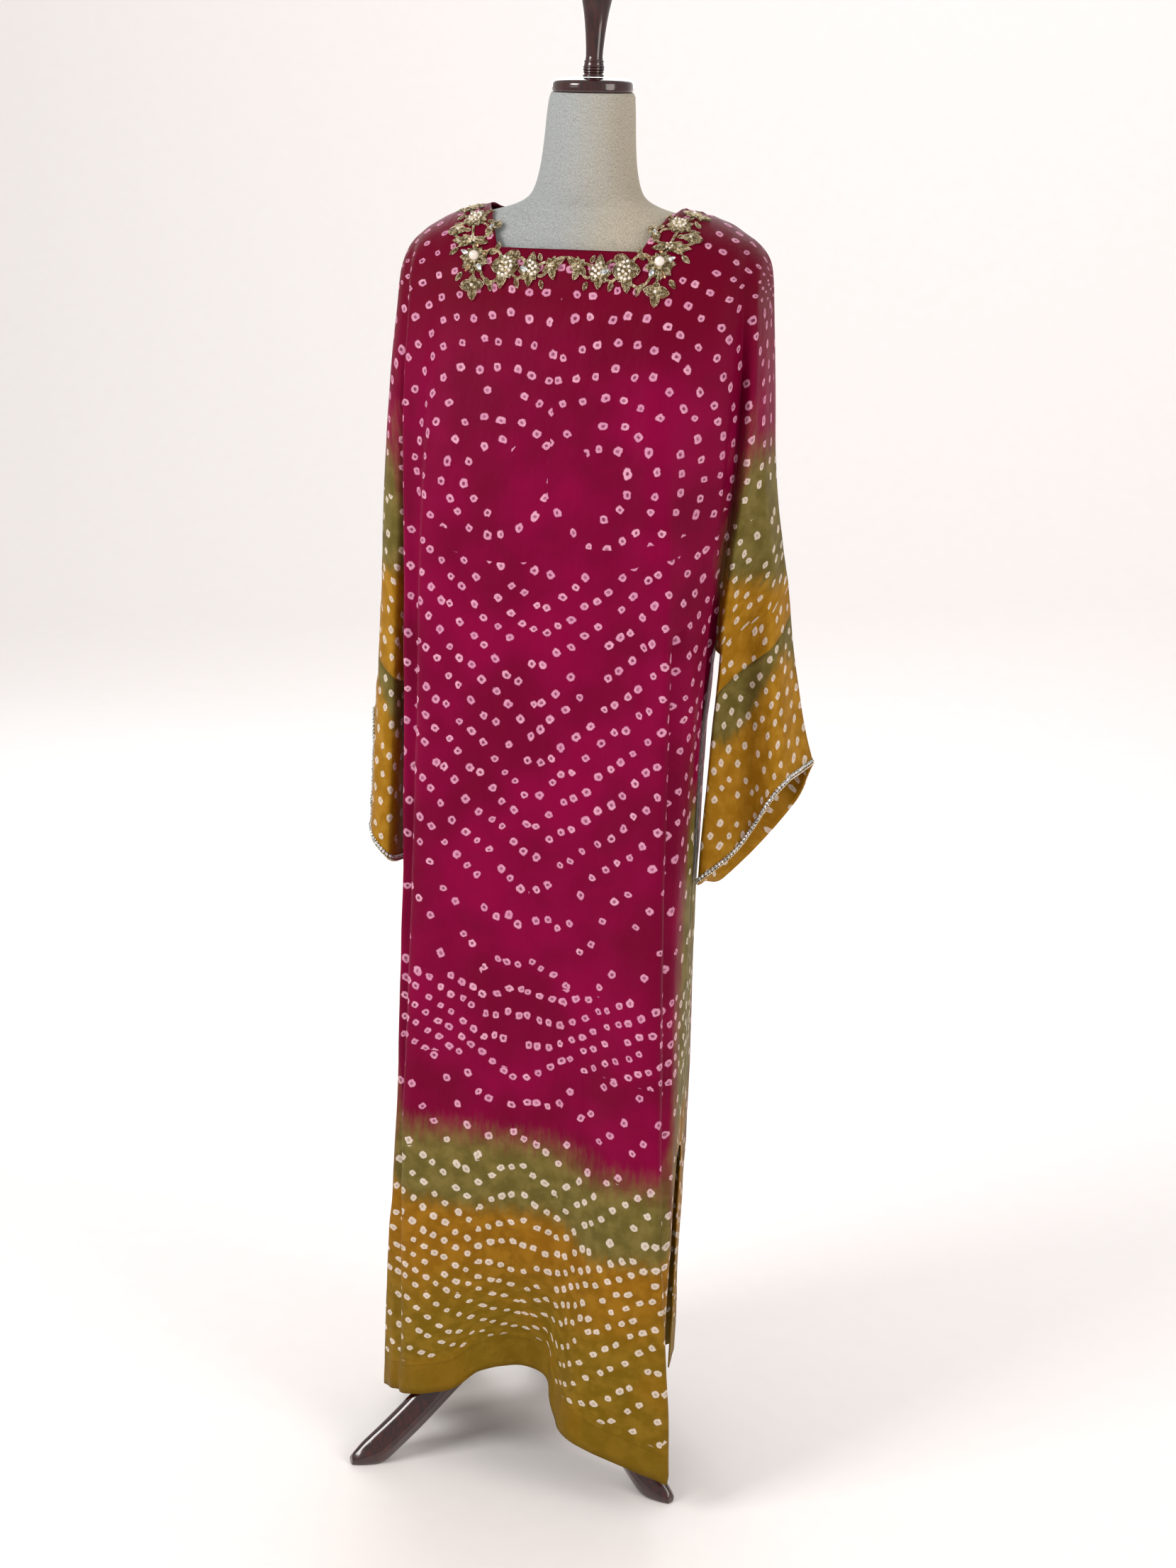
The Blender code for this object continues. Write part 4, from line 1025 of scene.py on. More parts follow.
# %% Bent rows
# Height of the row through each place, the slope of that row, and how much closer the rows lie there
def bent_rows(r, far, high):
    near = r.math("MINIMUM", far, SLOPE_REACH)
    slope = ROW_SLOPES[0][1]
    bend = 0.0
    for (low, below), (top, above) in zip(ROW_SLOPES, ROW_SLOPES[1:]):
        inside = r.above(high, low)
        rate = (above - below) / (top - low)
        slope = r.choose(inside, slope, below + (high - low) * rate)
        bend = r.choose(inside, bend, rate)
    lift = slope * near + r.most(far - SLOPE_REACH, 0.0) * OUTER_SLOPE
    here = r.choose(r.above(far, SLOPE_REACH), slope, OUTER_SLOPE)
    for turn_at, change, after in SIDE_TURNS:
        lift = lift + r.most(far - turn_at, 0.0) * change
        here = r.choose(r.above(far, turn_at), here, after)
    return high - lift, here, r.most(1.0 - bend * near, 0.15)


# %% One tied dot for each place
def tied_dots(r, u, v):
    far = r.size(u)
    v = v + (r.noise(r.point(far, v), 7.0, 1.0) - 0.5) * 0.034
    far = far + (r.noise(r.point(v, far), 9.0, 1.0) - 0.5) * 0.016
    height, slope, closer = bent_rows(r, far, v)
    slope = slope / closer
    stretch = r.math("SQRT", slope * slope + 1.0)

    # Rings round the eye
    right = far - EYE[0]
    up = v - EYE[1]
    radius = r.math("SQRT", right * right + up * up)
    ring = radius / RING_STEP + RING_START
    ring_radius = (r.math("FLOOR", ring) + (0.5 - RING_START)) * RING_STEP
    count = r.most(r.math("ROUND", ring_radius * (2 * math.pi / RING_DOT_STEP)), 1.0)
    turn = r.math("ARCTAN2", right, up) / (2 * math.pi) + 0.5
    edge = RINGS_FROM + r.most(far - RINGS_CLIMB_FROM, 0.0) * RINGS_CLIMB
    rings = r.above(v, edge)

    # The cell of the nearest knot, which is tied a little off its mark
    row = r.choose(rings, height / ROW_STEP, ring)
    place = r.choose(rings, far / ROW_DOT_STEP, turn * count)
    side = r.math("SIGN", u)
    cell = r.point(r.math("FLOOR", row), r.math("FLOOR", place) + side * 300.0, rings)
    chance = r.random(cell)
    from_row = r.math("FRACT", row) - 0.5 - (chance[0] - 0.5) * 0.26
    from_place = r.math("FRACT", place) - 0.5 - (chance[1] - 0.5) * 0.32
    off_bent = from_row * ROW_STEP / (stretch * closer)
    along_bent = from_place * ROW_DOT_STEP * stretch + slope * off_bent
    along_ring = from_place * (radius * (2 * math.pi) / count)
    off = r.choose(rings, off_bent, from_row * RING_STEP)
    along = r.choose(rings, along_bent, along_ring)

    # A soft square with an uneven edge
    wobble = (r.noise(r.point(u, v), 260.0, 2.0) - 0.5) * 0.0034
    off = r.size(off) * r.choose(chance[2], 0.86, 1.12)
    square = r.math("POWER", off, SQUARENESS) + r.math("POWER", r.size(along), SQUARENESS)
    size = (r.math("POWER", square, 1 / SQUARENESS) + wobble) / r.choose(chance[2], 0.82, 1.20)

    # Where nothing is tied: inside the eyes, along the change of rows, and here and there a lost knot
    small_ring = r.above(ring, 1.0) * r.above(turn, 0.42)
    plain = r.math("LESS_THAN", ring, 2.0) * rings * (1.0 - small_ring)
    change = r.math("LESS_THAN", r.size(v - edge), PLAIN_STRIP)
    lost = r.above(r.random(r.point(*chance))[0], 1.0 - LOST_KNOTS)
    kept = 1.0 - r.most(plain, r.most(change, lost))
    return size, kept, chance


# %% Silk in three baths
HEM_BAND = (0.046, 0.030)
HEM_STITCH = 0.0375
STITCH_HALF = 0.0006


def dyed_silk(name):
    r = Recipe(name)
    u, v = r.parts(r.node("UVMap", 0, {}, uv_map="flat cloth"))[:2]
    olive_from, mustard_from, hem = r.parts(r.node("Attribute", "Vector", {}, attribute_name="dye"))
    flat = r.point(u, v)
    streaks = r.noise(r.point(u * 5.0, v), 34.0, 4.0, 0.62)
    clouds = r.noise(flat, 9.0, 3.0)
    mottle = r.noise(flat, 46.0, 4.0, 0.6)
    patchy = r.rise(mottle, 0.38, 0.66)

    # Three baths, each border feathered downward by the wet dye
    feather = (streaks - 0.5) * 0.046 + (clouds - 0.5) * 0.030
    past_magenta = r.rise(feather - olive_from, -0.025, 0.031)
    past_olive = r.rise(feather * 0.8 - mustard_from, -0.014, 0.016)
    magenta = r.mix(r.rise(clouds, 0.34, 0.66), shade(108, 0, 42), shade(128, 0, 55))
    magenta = r.mix(r.rise(v, 1.28, 1.42) * 0.8, magenta, shade(98, 0, 26))
    olive = r.mix(r.rise(mottle, 0.35, 0.68), shade(96, 84, 38), shade(118, 104, 54))
    orange = r.mix(patchy, shade(128, 86, 12), shade(148, 103, 24))
    gold = r.mix(patchy, shade(112, 86, 12), shade(130, 100, 26))
    # Painted light: high on the sleeves the mustard becomes a brighter copy of itself, as where more light
    # falls on the sleeve ends
    lit_sleeve_mustard = r.mix(patchy, shade(146, 102, 16), shade(166, 120, 34))
    mustard = r.mix(r.rise(v, 0.32, 0.18), orange, gold)
    mustard = r.mix(r.rise(v, 0.60, 0.70), mustard, lit_sleeve_mustard)
    mustard = r.mix(r.rise(clouds, 0.48, 0.62) * 0.25, mustard, shade(150, 98, 14))
    colour = r.mix(past_olive, r.mix(past_magenta, magenta, olive), mustard)
    colour = r.mix(r.rise(hem, *HEM_BAND) * 0.5, colour, shade(114, 87, 16))

    # The dots: pale where the thread kept the dye off, dark again in the heart
    size, kept, chance = tied_dots(r, u, v)
    tied = kept * r.rise(hem, 0.043, 0.047)
    inside = r.rise(size, DOT + 0.0005, DOT - 0.0005) * tied
    heart = r.rise(size, HEART + 0.0007, HEART - 0.0006) * tied * r.choose(past_magenta, 1.0, 0.5)
    pale = r.rise(mottle, 0.4, 0.7)
    dot_pink = r.mix(pale, shade(206, 136, 168), shade(226, 164, 188))
    dot_pale = r.mix(pale, shade(206, 192, 176), shade(222, 206, 192))
    dark = r.mix(0.45, colour, shade(70, 10, 40))
    colour = r.mix(inside * 0.93, colour, r.mix(past_magenta, dot_pink, dot_pale))
    colour = r.mix(heart * r.choose(chance[1], 0.55, 0.95), colour, dark)

    # The stitches of the hem
    stitch_line = r.math("LESS_THAN", r.size(hem - HEM_STITCH), STITCH_HALF)
    stitches = stitch_line * r.above(r.math("SINE", u * 2400.0), -0.3)
    colour = r.mix(stitches * 0.55, colour, shade(96, 66, 10))

    # Crepe weave, a pucker round each knot and fine creases
    weave = r.math("SINE", u * 9000.0) * r.math("SINE", v * 9000.0) + r.noise(flat, 900.0, 2.0)
    creases = r.noise(r.point(u, v * 0.45), 70.0, 4.0, 0.55)
    bumps = r.bump(weave, 0.00006, 0.5)
    bumps = r.bump(r.rise(size, 0.0068, 0.0) * kept, 0.0011, 0.5, bumps)
    bumps = r.bump(creases, 0.0035, 0.35, bumps)
    bumps = r.bump(stitch_line * -1.0, 0.0006, 0.6, bumps)
    return r.finish(Base_Color=colour, Roughness=r.choose(r.noise(flat, 120.0, 3.0), 0.40, 0.56),
                    Normal=bumps, Sheen_Weight=0.008, Sheen_Roughness=0.45,
                    Sheen_Tint=(1.0, 0.62, 0.62, 1.0), Specular_IOR_Level=0.05)


# %% The four cloth pieces
silk = dyed_silk("tie-dyed silk")
front_cloth, front_area = cloth_object("front_cloth", front.faces, silk)
back_cloth, back_area = cloth_object("back_cloth", back.faces, silk)
end_cloth = {part: cloth_object("sleeve_end_cloth_" + part, end_faces[part], silk)
             for part in PARTS}


# %% [markdown]
# ## The dress form and its stand
#
# The form is padded and covered with flecked linen, so its cover is a soft smooth skin over the
# plain solid. The cap, finial, pole and hub are turned on a lathe and are spun here from a profile;
# the legs are shaped by hand and polished, so they are softened copies of the plain ones. Spinning
# is chosen because a turned piece is nothing but its profile.

# %% Profiles of the turned parts
# Height and radius
NECK_CAP = ((1.6110, .0424), (1.6130, .0433), (1.6170, .0435), (1.6215, .0426), (1.6240, .0388),
            (1.6253, .0300), (1.6260, .0150))
FINIAL = ((1.6265, .0110), (1.6280, .0116), (1.6300, .0107), (1.6315, .0112), (1.6355, .0117),
          (1.6385, .0114), (1.6400, .0106), (1.6420, .0110), (1.6445, .0102), (1.6470, .0093),
          (1.6670, .0106), (1.6900, .0134), (1.7090, .0170), (1.7310, .0190), (1.7430, .0185),
          (1.7510, .0150), (1.7550, .0080))
POLE = ((0.2350, .0120), (0.7995, .0120))
HUB = ((0.1120, .0120), (0.1150, .0200), (0.1220, .0240), (0.1300, .0280), (0.1950, .0280),
       (0.2050, .0250), (0.2120, .0180), (0.2200, .0200), (0.2280, .0190), (0.2346, .0150))
# The finial's reel has thin turned rings
REEL = (1.6285, 1.6460)
RING_GAP = 0.0029
RING_CUT = 0.0007
TURNED_STEPS = 64
PROFILE_STEP = 0.0006
print("finial", round(FINIAL[-1][0] - FINIAL[0][0], 3), "m tall")


# %% Polished wood
def mahogany():
    r = Recipe("polished mahogany")
    place = r.place()
    x, y, z = r.parts(place)
    grain = r.noise(r.point(x, y, z * 0.10), 260.0, 5.0, 0.6)
    colour = r.mix(r.rise(grain, 0.38, 0.66), shade(34, 8, 8), shade(62, 16, 12))
    tone = r.rise(r.noise(place, 28.0, 3.0), 0.5, 0.7)
    colour = r.mix(tone * 0.4, colour, shade(24, 5, 6))
    return r.finish(Base_Color=colour, Roughness=r.choose(r.noise(place, 70.0, 4.0), 0.10, 0.24),
                    Normal=r.bump(grain, 0.0002, 0.25), Coat_Weight=0.6, Coat_Roughness=0.06)


# %% Linen
# Threads run round the form and down it; the map is the angle round the neck axis times its radius
LINEN_RADIUS = 0.06


def flecked_linen():
    r = Recipe("flecked linen")
    x, y, z = r.parts(r.place())
    around = r.math("ARCTAN2", x, y) * LINEN_RADIUS
    warp = r.noise(r.point(around * 12.0, z * 1.0), 150.0, 3.0, 0.6)
    weft = r.noise(r.point(around * 1.0, z * 12.0), 150.0, 3.0, 0.6)
    flecks = r.most(r.rise(warp, 0.60, 0.70), r.rise(weft, 0.60, 0.70))
    clouds = r.noise(r.point(around, z), 14.0, 3.0)
    # Painted light: the +x side of the cover is tinted warm and the other side cool grey, as a warm lamp on
    # one side and shade on the other would tint it
    painted_warm_side = r.rise(x + (clouds - 0.5) * 0.03, -0.055, 0.035)
    base = r.mix(painted_warm_side, shade(176, 182, 184), shade(196, 186, 166))
    threads = r.noise(r.point(around * 3.0, z), 480.0, 3.0, 0.7)
    base = r.mix(r.rise(threads, 0.42, 0.60), r.mix(0.5, base, shade(126, 120, 108)), base)
    base = r.mix(flecks * 0.62, base, shade(132, 122, 104))
    weave = r.math("SINE", around * 5200.0) * r.math("SINE", z * 5200.0)
    return r.finish(Base_Color=base, Roughness=r.choose(threads, 0.78, 0.95),
                    Normal=r.bump(weave + flecks * 1.5, 0.0003, 0.6))


# %% From a plan to a piece
def new_piece(name, plan, made_of, smooth=True):
    for face in plan.faces:
        face.smooth = smooth
    mesh = bpy.data.meshes.new(name)
    plan.to_mesh(mesh)
    plan.free()
    mesh.materials.append(made_of)
    print(name, "patches", len(mesh.polygons))
    return new_object(name, mesh)


# %% Turning
# Spins a profile into a closed turned piece
def turned(name, profile, made_of, leaning):
    heights, radii = zip(*profile)
    outline = [(0.0, heights[0])]
    for low, high in zip(heights, heights[1:]):
        steps = max(2, min(10, round((high - low) / PROFILE_STEP)))
        for k in range(steps):
            z = low + (high - low) * k / steps
            radius = curve_at(heights, radii, z)
            if name == "turned_finial" and REEL[0] < z < REEL[1]:
                radius -= RING_CUT * abs(math.cos(math.pi * z / RING_GAP)) ** 3
            outline.append((radius, z))
    outline += [(radii[-1], heights[-1]), (0.0, heights[-1])]
    plan = bmesh.new()
    corners = [plan.verts.new((radius, 0.0, z)) for radius, z in outline]
    edges = [plan.edges.new(pair) for pair in zip(corners, corners[1:])]
    bmesh.ops.spin(plan, geom=corners + edges, cent=(0, 0, 0), axis=(0, 0, 1), dvec=(0, 0, 0),
                   angle=2 * math.pi, steps=TURNED_STEPS, use_merge=True)
    bmesh.ops.remove_doubles(plan, verts=plan.verts, dist=1e-6)
    bmesh.ops.recalc_face_normals(plan, faces=plan.faces)
    shear = Matrix.Identity(4)
    shear[2][0] = lean(leaning)
    bmesh.ops.transform(plan, matrix=Matrix.Translation(FORM_AXIS) @ shear, verts=plan.verts)
    return new_piece(name, plan, made_of)


# %% Softened copies
# Edges sharper than this, in radians, stay a little crisp
CRISP_ANGLE = 0.75


def softened(node, name, made_of, sharp_above=None):
    plan = bmesh.new()
    plan.from_mesh(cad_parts[node].data)
    bmesh.ops.remove_doubles(plan, verts=plan.verts, dist=1e-5)
    bmesh.ops.join_triangles(plan, faces=plan.faces, angle_face_threshold=0.9,
                             angle_shape_threshold=1.4)
    crease_of = plan.edges.layers.float.new("crease_edge")
    for edge in plan.edges:
        if sharp_above is not None and min(v.co.z for v in edge.verts) > sharp_above:
            edge[crease_of] = 0.9
        elif edge.calc_face_angle(0.0) > CRISP_ANGLE:
            edge[crease_of] = 0.55
    made = new_piece(name, plan, made_of)
    soft = made.modifiers.new("soft shape", "SUBSURF")
    soft.levels = soft.render_levels = 2
    return made


# %% Form and stand
NECK_TOP_EDGE = 1.605
wood = mahogany()
form_cover = softened("form_torso", "form_cover", flecked_linen(), sharp_above=NECK_TOP_EDGE)
stand = {
    "neck_cap": turned("turned_cap", NECK_CAP, wood, 1.6),
    "finial": turned("turned_finial", FINIAL, wood, 1.6),
    "pole": turned("turned_pole", POLE, wood, 0.5),
    "hub": turned("turned_hub", HUB, wood, 0.5),
}
for node in ("leg_left", "leg_right", "leg_back"):
    stand[node] = softened(node, "polished_" + node, wood)

# %% [markdown]
# ## Gold thread work round the neckline
#
# On the real piece each leaf and petal is cut from card, laid on the cloth, outlined with a twisted
# gold cord and covered with short lengths of coiled gold wire, laid like the veins of a leaf.
# Pearls and cut stones are sewn between them. Here the solids' raised shapes are the padding; every
# wire is its own short bent tube on top, and all the wires of one side are one mesh.

# %% Sizes and places of the work
# Radii of cords and coiled wires, and the distance between wires
CORD = 0.00045
WIRE = 0.00058
WIRE_GAP = 0.00135
# Pearls and stones stand on the wires, in millimetres
LIFT = 1.3

# Sewn shapes on each side: distance from the centre, rise above the chest row, radius of the middle,
# height of the padding, then leaves as (direction, reach, half width in degrees)
MOTIFS = (
    ("shoulder_sprig", 122.0, 113.0, 6.5, 2.8,
     ((10, 18.0, 30), (60, 11.5, 26), (105, 12.0, 26), (155, 14.0, 28), (215, 9.5, 28), (315, 10.5, 28))),
    ("upper_flower", 111.0, 87.0, 10.0, 2.8,
     ((20, 14.0, 24), (65, 14.0, 24), (110, 14.0, 24), (155, 14.0, 24), (200, 13.5, 24),
      (245, 13.5, 24), (290, 13.0, 24), (335, 13.5, 24))),
    ("outer_leaf", 126.0, 69.5, 5.2, 2.4,
     ((5, 12.0, 50), (90, 6.0, 40), (180, 8.0, 45), (270, 5.8, 40))),
    ("inner_leaf", 88.5, 69.5, 3.8, 2.4,
     ((123, 14.0, 42), (303, 8.0, 44))),
    ("leaf_cluster", 106.5, 55.0, 5.6, 2.6,
     ((2, 22.0, 24), (30, 13.5, 20), (165, 12.5, 20), (190, 18.0, 22), (335, 16.0, 20))),
    ("main_flower", 100.0, 37.0, 9.6, 1.2,
     ((0, 16.0, 22), (42, 12.0, 20), (82, 10.4, 20), (122, 11.0, 20), (162, 15.0, 22),
      (202, 16.0, 22), (242, 16.0, 20), (278, 16.0, 20), (318, 16.0, 22))),
    ("trefoil", 99.0, 11.0, 5.4, 2.6,
     ((355, 13.5, 38), (90, 8.5, 40), (175, 12.5, 38), (267, 13.5, 36))),
    ("crescent", 66.0, 28.5, 9.5, 2.6,
     ((0, 14.0, 40), (60, 11.5, 28), (118, 17.5, 30), (180, 15.5, 44), (232, 12.5, 28), (277, 19.5, 28))),
    ("bud", 37.5, 25.5, 8.2, 2.8,
     ((0, 12.0, 32), (48, 10.0, 26), (95, 16.5, 28), (142, 10.0, 26), (180, 10.6, 32), (228, 10.5, 26),
      (270, 14.0, 28), (312, 10.5, 26))),
    ("centre_sprig", 15.0, 29.5, 5.0, 2.4,
     ((60, 8.0, 30), (108, 9.5, 28), (147, 16.8, 24), (190, 8.0, 26), (250, 12.0, 30), (322, 10.0, 32))),
)
# Small leaves between the padded shapes: place, direction, length, width
SMALL_LEAVES = ((126, 99, 300, 12, 5.5), (102, 99, 150, 10, 5), (123, 79, 10, 11, 5.5), (96, 82, 200, 10, 5),
                (94, 60, 150, 9, 5), (121, 47, 320, 11, 5.5), (84, 40, 150, 10, 5), (112, 22, 310, 10, 5),
                (87, 17, 215, 10, 5), (52, 36, 70, 9, 5), (52, 18, 250, 9, 5), (27, 34, 70, 8, 4.5),
                (25, 17, 250, 8, 4.5), (77, 44, 100, 9, 5), (112, 68, 20, 9, 5), (80, 14, 260, 8, 4.5))
# Stems, each a line of places
STEMS = (((122, 110), (119, 102), (113, 95)), ((111, 78), (109, 68), (107, 58)),
         ((116, 82), (125, 79), (130, 74), (131, 66), (124, 60), (114, 57)),
         ((104, 80), (96, 76), (90, 70)), ((98, 56), (92, 62), (88, 69)), ((105, 52), (103, 47), (101, 42)),
         ((93, 27), (88, 18), (80, 14), (72, 17), (68, 24)), ((89, 42), (82, 45), (74, 42), (69, 34)),
         ((99, 24), (99, 18), (99, 12)), ((57, 22), (50, 18), (43, 22)), ((56, 35), (49, 37), (42, 32)),
         ((29, 21), (23, 21), (18, 26)), ((29, 30), (22, 33), (16, 31)))


# Pearls in a ring or a part of one: place, radius of the ring, first turn, step, count, then one pearl
def pearl_ring(x, rise, ring, first, step, count, radius, height):
    turns = [math.radians(first + step * k) for k in range(count)]
    return tuple((x + ring * math.cos(turn), rise + ring * math.sin(turn), radius, height) for turn in turns)


# Pearls: place, radius and height of the middle, in millimetres
PEARLS = pearl_ring(111, 87, 6.2, 0, 36, 10, 1.45, 3.2) + ((111, 87, 2.1, 3.9),)
PEARLS += pearl_ring(66, 28.5, 8.0, 90, 30, 8, 1.75, 3.1) + pearl_ring(66, 28.5, 3.6, 60, 72, 5, 1.6, 3.4)
PEARLS += ((34.5, 31.5, 1.8, 3.3), (31.0, 28.5, 1.8, 3.1), (33.8, 26.5, 1.9, 3.5), (37.4, 29.0, 1.9, 3.6),
           (30.8, 23.6, 1.7, 3.0), (34.4, 21.8, 1.8, 3.2), (37.6, 24.2, 1.9, 3.5), (38.0, 33.6, 1.6, 2.9))
PEARLS += pearl_ring(106.5, 55, 3.2, 0, 72, 5, 1.2, 3.2)
PEARLS += ((15, 29.5, 1.5, 3.2), (122, 113, 1.7, 3.6), (99, 11, 1.7, 3.4), (126, 69.5, 1.5, 3.0))
MAIN_PEARL = (100.0, 37.0, 5.2, 7.1)
# Cut stones: place, direction, length, width, tint
STONES = ((111.5, 41.0, 20, 7.5, 5.0, "clear"), (88.5, 40.5, 160, 7.0, 4.8, "tan"),
          (105.5, 25.8, 300, 7.5, 5.0, "tan"), (93.0, 27.0, 235, 7.5, 5.2, "clear"),
          (99.5, 48.0, 90, 6.0, 4.4, "tan"), (43.0, 26.0, 15, 8.0, 6.2, "clear"),
          (88.5, 69.5, 123, 5.5, 3.6, "clear"))
print("sewn shapes", len(MOTIFS), "pearls", len(PEARLS) + 1, "stones", len(STONES), "on each side")

# %% [markdown]
# ### Sewing on
#
# The table's sizes are measured along the cloth, from the middle and from the chest row up, as an
# embroiderer would mark them. A ray shot at the front cloth finds the real place, so that each wire
# and pearl lies on the cloth and not near it. Placing them by hand would take hours.

# %% Places on the front cloth
RISE_RADIUS = 0.092
CHEST_DEPTH = 0.104
CHEST_RISE = 0.0885
OVERHANG = 0.0012
RAY = 0.2
front_tree = BVHTree.FromPolygons([vertex.co for vertex in front_cloth.data.vertices],
                                  [list(face.vertices) for face in front_cloth.data.polygons])


# A place over the front of the cloth, in millimetres along it; also the way outward there
def on_front(x, rise, height):
    x, rise, height = x / 1000.0, rise / 1000.0, height / 1000.0
    turn = math.pi / 2 - max(0.0, rise) / RISE_RADIUS
    inside = Vector((x, 0.010, CHEST_Z + min(0.0, rise)))
    out = Vector((0.0, -math.sin(turn), math.cos(turn)))
    start = settle(inside + out * RAY) + FORM_AXIS
    way = (settle(inside) + FORM_AXIS - start).normalized()
    place, normal = front_tree.ray_cast(start, way, RAY)[:2]
    if place is None or abs(normal.dot(way)) < 0.5:
        # Beyond the cloth's edge the shape goes on as an oval
        a = (out.y / CHEST_DEPTH) ** 2 + (out.z / CHEST_RISE) ** 2
        b = 0.005 * out.y / CHEST_DEPTH ** 2
        c = (0.005 / CHEST_DEPTH) ** 2 - 1.0
        place = settle(inside + out * ((-b + math.sqrt(b * b - a * c)) / a)) + FORM_AXIS
        height += OVERHANG
    return place - way * height, -way


# Points of a circle on the front cloth
def circle_on_front(sign, x, rise, radius, height, count):
    turns = [2 * math.pi * k / count for k in range(count)]
    return [on_front(sign * (x + radius * math.cos(turn)), rise + radius * math.sin(turn), height)[0]
            for turn in turns]


# %% Wire
# Tube along a line of points, tapered at both ends or closed into a loop
def tube(plan, line, radius, sides=5, closed=False):
    rings = []
    count = len(line)
    turns = [2 * math.pi * k / sides for k in range(sides)]
    for i, place in enumerate(line):
        before = line[i - 1] if i or closed else line[0]
        after = line[(i + 1) % count] if i + 1 < count or closed else line[-1]
        way = (after - before).normalized()
        side = way.orthogonal().normalized()
        over = way.cross(side)
        size = radius if closed or 0 < i < count - 1 else radius * 0.55
        rings.append([plan.verts.new(place + (side * math.cos(turn) + over * math.sin(turn)) * size)
                      for turn in turns])
    for i in range(count if closed else count - 1):
        here, there = rings[i], rings[(i + 1) % count]
        spans = [(here[0].co - corner.co).length for corner in there]
        twist = spans.index(min(spans))
        for k in range(sides):
            plan.faces.new((here[k], here[(k + 1) % sides],
                            there[(k + 1 + twist) % sides], there[(k + twist) % sides]))
    if not closed:
        plan.faces.new(list(reversed(rings[0])))
        plan.faces.new(rings[-1])


# %% Leaves
# Height of a leaf's outline over the cloth, and how much higher the wires run at vein, arch and edge
OUTLINE_UP = 0.25
WIRE_UP = (0.75, 1.0, 0.45)
# How far back toward the stem a wire starts, as a share of the leaf
VEIN_SLANT = 0.14


# One leaf: a pointed outline in cord, with coiled wires from the middle vein to the outline
def leaf(plan, sign, x, rise, direction, length, width, level):
    turn = math.radians(direction)
    along = (math.cos(turn), math.sin(turn))

    def at(share, off, up):
        a = share * length
        px = x + along[0] * a - along[1] * off
        py = rise + along[1] * a + along[0] * off
        return on_front(sign * px, py, level(a) + up)[0]

    def half(share):
        return 0.5 * width * math.sin(math.pi * min(1.0, share) ** 0.85) ** 0.8

    outline = [at(k / 9, half(k / 9), OUTLINE_UP) for k in range(10)]
    outline += [at(k / 9, -half(k / 9), OUTLINE_UP) for k in range(8, 0, -1)]
    tube(plan, outline, CORD, closed=True)
    count = max(3, int(length / 1000.0 / WIRE_GAP))
    for share in [k / count for k in range(1, count)]:
        reach = half(share)
        if reach < 0.7:
            continue
        back_share = max(0.02, share - VEIN_SLANT)
        for hand in (-1, 1):
            line = [at(back_share, hand * 0.15, WIRE_UP[0]),
                    at((share + back_share) / 2, hand * reach * 0.5, WIRE_UP[1]),
                    at(share, hand * (reach - 0.35), WIRE_UP[2])]
            tube(plan, line, WIRE)


# Height of the padding at a distance from the middle of its shape
def padding_level(middle, high):
    def level(distance):
        share = distance / max(middle * 1.3, 1.0)
        return high * (1 - min(1.0, share) ** 2) * 0.35 + 2.5 - 0.7 * min(1.0, share)
    return level


def bare_level(distance):
    return 0.7


# %% All the gold wire of one side
STEM_ASIDE = 0.9
PEARL_CORD = 0.00028


# Two wires with a cord between them
def stem_wires(plan, sign, stem):
    controls = [Vector((px, py, 0.0)) for px, py in stem]
    line = across(controls, [6] * (len(controls) - 1))
    for aside in (-STEM_ASIDE, 0.0, STEM_ASIDE):
        shifted = []
        for i, place in enumerate(line):
            way = (line[min(i + 1, len(line) - 1)] - line[max(i - 1, 0)]).normalized()
            px = place.x - way.y * aside
            py = place.y + way.x * aside
            shifted.append(on_front(sign * px, py, 0.8 if aside else 1.15)[0])
        tube(plan, shifted, WIRE if aside else CORD)


def gold_side(sign):
    plan = bmesh.new()
    for name, x, rise, middle, high, lobes in MOTIFS:
        level = padding_level(middle, high)
        for direction, reach, half in lobes:
            width = max(4.4, 2.0 * (middle + reach) * 0.5 * math.tan(math.radians(half * 0.74)))
            leaf(plan, sign, x, rise, direction, reach + 0.5, width, level)
        tube(plan, circle_on_front(sign, x, rise, 2.6, level(2.0) + 0.9, 14), WIRE, closed=True)
    for x, rise, direction, length, width in SMALL_LEAVES:
        leaf(plan, sign, x, rise, direction, length, width, bare_level)
    for stem in STEMS:
        stem_wires(plan, sign, stem)
    for px, py, radius, height in PEARLS:
        ring = circle_on_front(sign, px, py, radius + 0.2, height + LIFT - 1.0, 10)
        tube(plan, ring, PEARL_CORD, 4, closed=True)
    return plan


# %% Pearls
def pearl_side(sign):
    plan = bmesh.new()
    for px, py, radius, height in PEARLS:
        place, out = on_front(sign * px, py, height + LIFT)
        matrix = Matrix.Translation(place) @ out.to_track_quat("Z", "Y").to_matrix().to_4x4()
        matrix = matrix @ Matrix.Diagonal((1.0, 1.0, 0.9, 1.0))
        bmesh.ops.create_uvsphere(plan, u_segments=12, v_segments=8, radius=radius / 1000.0,
                                  matrix=matrix)
    return plan


def large_pearl(sign):
    plan = bmesh.new()
    x, rise, radius, height = MAIN_PEARL
    place = on_front(sign * x, rise, height)[0]
    bmesh.ops.create_uvsphere(plan, u_segments=40, v_segments=24, radius=radius / 1000.0,
                              matrix=Matrix.Translation(place))
    return plan


# %% Cut stones
# Foot and crown of a stone: lower and upper height as shares, radius below and above
STONE_PARTS = ((-0.9, 0.15, 0.45, 1.0), (0.15, 1.15, 1.0, 0.52))
STONE_TALL = 0.0011
STONE_HEIGHT = 3.6


